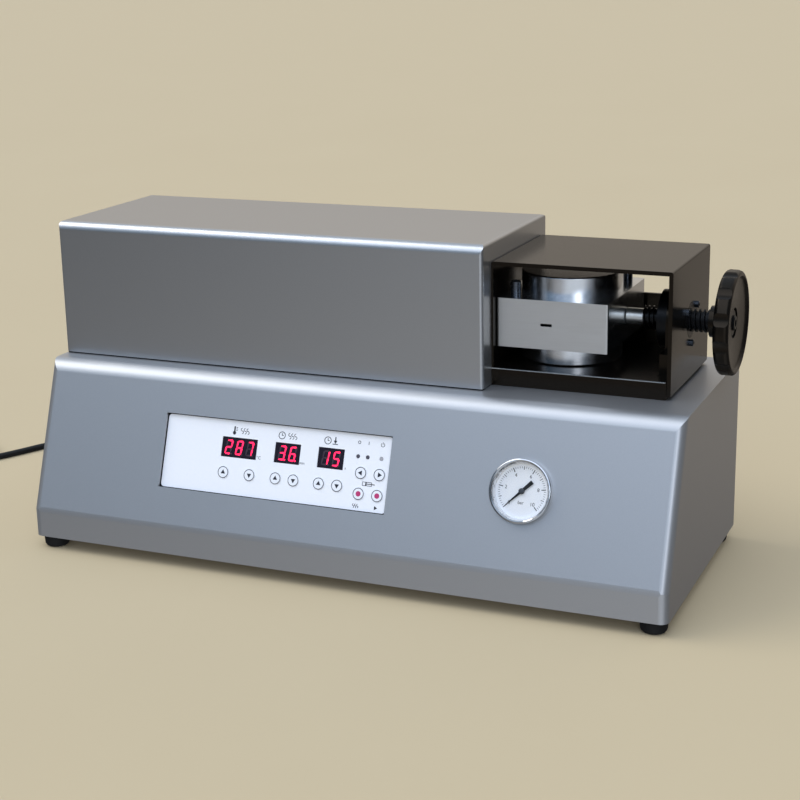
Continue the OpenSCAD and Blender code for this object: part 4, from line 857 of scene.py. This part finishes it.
def make_bezel():
    """Chromed bezel ring: rounded outside, with a bevel down to the lens."""
    profile = [(BEZEL_SKIRT, BEZEL_FOOT), (BEZEL_OUTER, BEZEL_FOOT)]
    for degrees in range(0, 91, BEZEL_EDGE_STEP_DEG):
        a = math.radians(degrees)
        profile.append((BEZEL_OUTER - BEZEL_EDGE + BEZEL_EDGE * math.cos(a),
                        BEZEL_TOP - BEZEL_EDGE + BEZEL_EDGE * math.sin(a)))
    profile += [(BEZEL_WINDOW, BEZEL_TOP - BEZEL_CHAMFER), (BEZEL_WINDOW, BEZEL_TOP - BEZEL_LIP),
                (BEZEL_SKIRT, BEZEL_TOP - BEZEL_LIP), (BEZEL_SKIRT, BEZEL_FOOT)]
    bezel = put(turned(profile, BEZEL_STEPS), on_slope(GAUGE_HUB))
    smooth(bezel)
    stand_for("gauge_bezel", bezel, "chromed_bezel", chrome)


def make_gauge_case():
    """The gauge's case, black outside and enamelled white inside, where the lens shows it."""
    case = reworked("gauge_case", merged_copy("gauge_case"), "enamelled_gauge_case", gauge_black)
    refinish(case, dial_enamel, lambda c, n: (c - GAUGE_HUB).dot(SLOPE_OUT) > BEZEL_FOOT - CASE_SHOWN)


make_dial_print()
make_needle_cap()
make_bezel()
make_gauge_case()


# Clamp screw: trapezoidal thread, socket screws and the wheel
THREAD_PITCH, THREAD_DEPTH, FLANK_DEG = 4 * MM, 2.2 * MM, 15
THREAD_STEPS, THREAD_SHARP_DEG, THREAD_MERGE_GAP = 48, 40, 0.002 * MM
SPINDLE_PIN_L, SPINDLE_PIN_R, SPINDLE_SEAT_R, SPINDLE_EDGE = 6.55 * MM, 4 * MM, 7 * MM, 0.5 * MM


def make_thread(radius, length):
    """Trapezoidal thread along Z, cut flat at one pitch from its start and at the given length after that."""
    root = radius - THREAD_DEPTH
    flank = THREAD_DEPTH * math.tan(math.radians(FLANK_DEG))
    crest = THREAD_PITCH / 2 - flank
    profile = [(root, 0), (root, crest), (radius, crest + flank), (radius, 2 * crest + flank),
               (root, THREAD_PITCH)]
    turns = math.ceil(length / THREAD_PITCH) + 2
    thread = swept(profile, THREAD_STEPS, screw_offset=THREAD_PITCH, iterations=turns)
    edit_all(thread)
    bpy.ops.mesh.remove_doubles(threshold=THREAD_MERGE_GAP)
    for height, normal in ((THREAD_PITCH, (0, 0, -1)), (THREAD_PITCH + length, (0, 0, 1))):
        bpy.ops.mesh.select_all(action="SELECT")
        bpy.ops.mesh.bisect(plane_co=(0, 0, height), plane_no=normal, use_fill=True, clear_outer=True)
    bpy.ops.mesh.select_all(action="SELECT")
    bpy.ops.mesh.normals_make_consistent(inside=False)
    object_mode()
    return thread


def make_spindle():
    """The clamp spindle: its pin, the threaded length and its seat in the wheel."""
    low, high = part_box("clamp_spindle")
    end = high.x - low.x
    thread_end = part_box("handwheel")[0].x - low.x
    thread = make_thread((high.y - low.y) / 2, thread_end - SPINDLE_PIN_L)
    thread.data.transform(Matrix.Translation((0, 0, SPINDLE_PIN_L - THREAD_PITCH)))
    pin = turned([(0, 0), (SPINDLE_PIN_R - SPINDLE_EDGE, 0), (SPINDLE_PIN_R, SPINDLE_EDGE),
                  (SPINDLE_PIN_R, SPINDLE_PIN_L), (0, SPINDLE_PIN_L)])
    seat = turned([(0, thread_end), (SPINDLE_SEAT_R, thread_end), (SPINDLE_SEAT_R, end - SPINDLE_EDGE),
                   (SPINDLE_SEAT_R - SPINDLE_EDGE, end), (0, end)])
    spindle = put(join([thread, pin, seat]), on_screw(low.x))
    smooth(spindle, THREAD_SHARP_DEG)
    stand_for("clamp_spindle", spindle, "threaded_spindle", black_steel_and_painted_shade)


HEAD_EDGE_SHARE = 0.08       # chamfer of a head, in head diameters
SOCKET_PLACE_SHARE = 0.95    # middle of the socket's cutter, in head heights
HEAD_STEPS = 40


def socket_screw(head_d, head_h, socket_af, shank_d, shank_l):
    """Cap screw along Z, its head from 0 up and its shank below, with a hexagon socket."""
    r, s = head_d / 2, shank_d / 2
    edge = HEAD_EDGE_SHARE * head_d
    screw = turned([(0, -shank_l), (s, -shank_l), (s, 0), (r, 0), (r, head_h - edge), (r - edge, head_h),
                    (0, head_h)], HEAD_STEPS)
    deselect_all()
    bpy.ops.mesh.primitive_cylinder_add(vertices=6, radius=socket_af / math.sqrt(3), depth=head_h,
                                        location=(0, 0, head_h * SOCKET_PLACE_SHARE))
    cut_out(screw, bpy.context.object)
    return screw


def copied_to(model, places):
    """Copies of a model at these places, joined into one piece in the model's stead."""
    group = join([put(copy_of(model), place) for place in places])
    bpy.data.objects.remove(model)
    smooth(group)
    return group


NUT_HEAD_D, NUT_HEAD_H, NUT_SOCKET, NUT_SHANK_D = 6 * MM, 3 * MM, 3 * MM, 4 * MM
NUT_CIRCLE_R, NUT_SCREW_DEGREES = 20 * MM, (30, 150, 270)


def make_nut_screws():
    """The three screws of the nut, whose heads show on the chamber's right wall."""
    low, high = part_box("nut_screws")
    seat_x = high.x - NUT_HEAD_H
    model = socket_screw(NUT_HEAD_D, NUT_HEAD_H, NUT_SOCKET, NUT_SHANK_D, seat_x - low.x)
    turns = [math.radians(degrees) for degrees in NUT_SCREW_DEGREES]
    places = [on_screw(seat_x, NUT_CIRCLE_R * math.cos(a), NUT_CIRCLE_R * math.sin(a)) for a in turns]
    stand_for("nut_screws", copied_to(model, places), "nut_cap_screws", bolt_steel)


# Dish of the wheel's face: radius and depth in millimetres, from the hub out and up to the lip
DISH_PROFILE = [(0, -4.2), (13.2, -4.2), (37.2, -2.2), (38.3, -1.9), (39.0, -1.3), (39.4, -0.6), (39.8, -0.2),
                (40.2, -0.05), (40.6, 0.5), (0, 0.5)]
# Washer and screw in the wheel's recess: radius and height above the spindle's end in millimetres
WASHER_PROFILE = [(4.2, 0.1), (11, 0.1), (11, 0.6), (10.7, 0.9), (4.2, 0.9), (4.2, 0.1)]
WASHER_TOP = 0.9 * MM
DISH_STEPS, WASHER_STEPS = 96, 48
WHEEL_SCREW = {"head_d": 13 * MM, "head_h": 2.2 * MM, "socket_af": 6 * MM, "shank_d": 8 * MM, "shank_l": 1 * MM}


def make_wheel():
    """The handwheel with its face dished inside the lip of the rim."""
    wheel = merged_copy("handwheel")
    dish = turned([(r * MM, z * MM) for r, z in DISH_PROFILE], DISH_STEPS)
    cut_out(wheel, put(dish, on_screw(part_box("handwheel")[1].x)))
    reworked("handwheel", wheel, "dished_handwheel", phenolic)


def make_wheel_screw():
    """Screw and washer that hold the wheel on its spindle, in the recess of the wheel's face."""
    end_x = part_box("clamp_spindle")[1].x
    screw = put(socket_screw(**WHEEL_SCREW), on_screw(end_x + WASHER_TOP))
    washer = put(turned([(r * MM, z * MM) for r, z in WASHER_PROFILE], WASHER_STEPS), on_screw(end_x))
    group = join([screw, washer])
    smooth(group)
    finish_piece(group, "wheel_screw", black_steel_and_painted_shade, "screw")


make_spindle()
make_nut_screws()
make_wheel()
make_wheel_screw()


# Flask, sheet edges and the fittings at the back, with their sharp edges taken off
FLASK_EDGE, GROUND_DEPTH = 0.3 * MM, 0.7 * MM
# The flask's slot, painted black as painted shade: its depth, half height and margin at each end
SLOT_DEPTH, SLOT_HALF_H, SLOT_SIDE = 8 * MM, 2.5 * MM, 8 * MM
BOLT_HEAD_D, BOLT_HEAD_H, BOLT_SOCKET, BOLT_SHANK_D, BOLT_SHANK_L = 9 * MM, 12 * MM, 5 * MM, 6 * MM, 5 * MM


def make_flask():
    """The two halves, ground on the front and back, polished elsewhere, and with painted shade in the slot."""
    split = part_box("flask_upper")[0].z
    for node in ("flask_lower", "flask_upper"):
        half = softened(node, node + "_machined", flask_metal, FLASK_EDGE)
        low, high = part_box(node)
        front, back = low.y + GROUND_DEPTH, high.y - GROUND_DEPTH
        refinish(half, flask_polish, lambda c, n: front < c.y < back)
        # Painted shade: the slot's aluminium faces get the black steel, for the shade in the narrow slot
        refinish(half, black_steel_and_painted_shade, lambda c, n: front < c.y < low.y + SLOT_DEPTH
                 and abs(c.z - split) < SLOT_HALF_H and low.x + SLOT_SIDE < c.x < high.x - SLOT_SIDE)


def make_flask_bolts():
    """The two bolts of the flask, at opposite corners."""
    low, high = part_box("flask_bolts")
    r, seat_z = BOLT_HEAD_D / 2, high.z - BOLT_HEAD_H
    model = socket_screw(BOLT_HEAD_D, BOLT_HEAD_H, BOLT_SOCKET, BOLT_SHANK_D, BOLT_SHANK_L)
    spots = ((low.x + r, low.y + r, seat_z), (high.x - r, high.y - r, seat_z))
    bolts = copied_to(model, [Matrix.Translation(spot) for spot in spots])
    stand_for("flask_bolts", bolts, "flask_cap_screws", bolt_steel)


# Node, finish and width of the rounded edge in millimetres
SOFT_EDGES = [
    ("chamber_hood", black_enamel, 0.7), ("bed_plate", black_enamel, 0.8),
    ("chamber_back_plate", black_enamel, 0.5), ("indicator_lights", light_lens, 0.25),
    ("switch_case", switch_plastic, 0.5), ("cord_gland", switch_plastic, 0.6),
]
POWER_LIGHT_REACH = 6 * MM


def on_front_edge(centre, normal):
    """True on a rounded edge that faces both the front and up."""
    return abs(normal.x) < 0.1 and normal.y < -0.25 and normal.z > 0.25


def make_soft_edges():
    """Rounded sheet edges, the bed plate's front edge worn to bare steel that also gives a painted highlight line,
    and the clear lens of the power light.
    """
    soft = {node: softened(node, node + "_soft", material, width * MM) for node, material, width in SOFT_EDGES}
    # Bright steel on the bed plate's front edge: wear, and a painted highlight line along it
    refinish(soft["bed_plate"], bright_steel_and_painted_highlight, on_front_edge)
    power_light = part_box("indicator_lights")[1].x - POWER_LIGHT_REACH
    refinish(soft["indicator_lights"], clear_lens, lambda c, n: c.x > power_light)


def make_rocker_marks():
    """A ring and a bar, one on each half of the rocker's face."""
    pivot_z = JOINTS["switch_rock"]["pos_m"][2]
    off_ring, on_bar = ring(0, 0, 2.0, 0.5), bar(0, 0, 0.6, 4)
    for name, side, mark in (("rocker_off_mark", -1, off_ring), ("rocker_on_mark", 1, on_bar)):
        faces = [f for f in nodes["switch_rocker"].data.polygons
                 if f.normal.y > 0.8 and (f.center.z - pivot_z) * side > 0]
        spot = sum((f.center * f.area for f in faces), Vector()) / sum(f.area for f in faces)
        out = sum((f.normal * f.area for f in faces), Vector()).normalized()
        lay_ink(name, [mark], frame_at(spot, -X_AXIS, out.cross(-X_AXIS)), mark_white, "rocker")


COLLAR_GAP, COLLAR_W, COLLAR_T, COLLAR_EDGE = 0.1 * MM, 2.4 * MM, 1.5 * MM, 0.4 * MM


def make_air_collar():
    """Release collar of the push-in air fitting."""
    mount = next(m for m in frame["record"]["mounts"] if m["name"] == "air_inlet")
    inner = mount["dims"]["r_mm"] * MM + COLLAR_GAP
    outer, shoulder = inner + COLLAR_W, COLLAR_T - COLLAR_EDGE
    collar = turned([(inner, 0), (outer, 0), (outer, shoulder), (outer - COLLAR_EDGE, COLLAR_T),
                     (inner + COLLAR_EDGE, COLLAR_T), (inner, shoulder), (inner, 0)])
    x, _, z = mount["pos_m"]
    put(collar, along(Vector((x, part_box("air_inlet")[1].y, z)), Y_AXIS))
    smooth(collar)
    finish_piece(collar, "air_collar", collar_blue, "base")


make_flask()
make_flask_bolts()
make_soft_edges()
make_rocker_marks()
make_air_collar()


# Floor and studio light. A lamp is its azimuth from the front, elevation and spread in degrees, tint and power
FLOOR_SIZE = 80
LAMPS = [
    ("left_window", -78, 48, 40, "#fffdf8", 1.0),
    ("front_window", 0, 55, 66, "#e4edff", 1.2),
    ("right_window", 30, 20, 18, "#f2f6ff", 0.3),
]
LAMP_DISTANCE = 3


def make_floor():
    """A plain sheet of pale paper, matt and nearly even, which isn't mirrored in the machine."""
    deselect_all()
    bpy.ops.mesh.primitive_plane_add(size=FLOOR_SIZE)
    floor = bpy.context.object
    floor.name = "floor"
    floor.data.materials.append(surface("pale_paper", "#c9b693", "#ccba98", 300.0, (0.75, 0.85)))
    floor.visible_glossy = False


def make_room_light():
    """A dim room: a cool window wall in front, a warm pale wall behind, and a darker table height below."""
    world = bpy.data.worlds.new("studio")
    bpy.context.scene.world = world
    world.use_nodes = True
    way = add(world, "ShaderNodeTexCoord").outputs["Generated"]
    parts = add(world, "ShaderNodeSeparateXYZ", {}, {"Vector": way}).outputs

    def blend(part, start, end, first, second):
        """Goes from one tone to another between two shares of the direction along an axis."""
        share = add(world, "ShaderNodeMapRange", {"interpolation_type": "SMOOTHSTEP"}, {
            "Value": part, "From Min": start, "From Max": end}).outputs["Result"]
        return add(world, "ShaderNodeMix", {"data_type": "RGBA"}, {0: share, 6: first, 7: second}).outputs[2]

    low_left = blend(parts["Z"], -0.08, -0.42, colour("#161618"), colour("#8a8886"))
    low_right = blend(parts["Z"], -0.08, -0.36, colour("#8a8b8f"), colour("#b4b3b2"))
    front_low = blend(parts["X"], -0.62, -0.28, low_left, low_right)
    front_low = blend(parts["X"], -0.20, 0.15, front_low, colour("#d2d8e0"))
    back_low = blend(parts["Z"], -0.24, -0.44, colour("#968d82"), colour("#57534e"))
    front_high = blend(parts["X"], -0.65, -0.20, colour("#6d8aa4"), colour("#87a4c2"))
    low = blend(parts["Y"], -0.5, 0.5, front_low, back_low)
    high = blend(parts["Y"], -0.5, 0.5, front_high, colour("#dcd3c7"))
    room = blend(parts["Z"], 0.04, 0.34, low, high)
    room = blend(parts["Z"], 0.45, 0.80, room, colour("#c8d8ec"))
    side = add(world, "ShaderNodeMath", {"operation": "ABSOLUTE"}, {0: parts["X"]}).outputs[0]
    room = blend(side, 0.62, 0.88, room, colour("#66696e"))
    world.node_tree.links.new(room, world.node_tree.nodes["Background"].inputs["Color"])


def make_lamps():
    """Soft far lamps, each turned towards the machine."""
    for name, azimuth, elevation, spread, tint, power in LAMPS:
        data = bpy.data.lights.new(name, "SUN")
        data.angle = math.radians(spread)
        data.color = colour(tint)[:3]
        data.energy = power
        lamp = linked(name, data)
        a, e = math.radians(azimuth), math.radians(elevation)
        towards = Vector((math.cos(e) * math.sin(a), -math.cos(e) * math.cos(a), math.sin(e)))
        lamp.location = towards * LAMP_DISTANCE
        lamp.rotation_mode = "QUATERNION"
        lamp.rotation_quaternion = (-towards).to_track_quat("-Z", "Y")


make_floor()
make_room_light()
make_lamps()
bpy.context.scene.view_settings.view_transform = "Standard"

deselect_all()
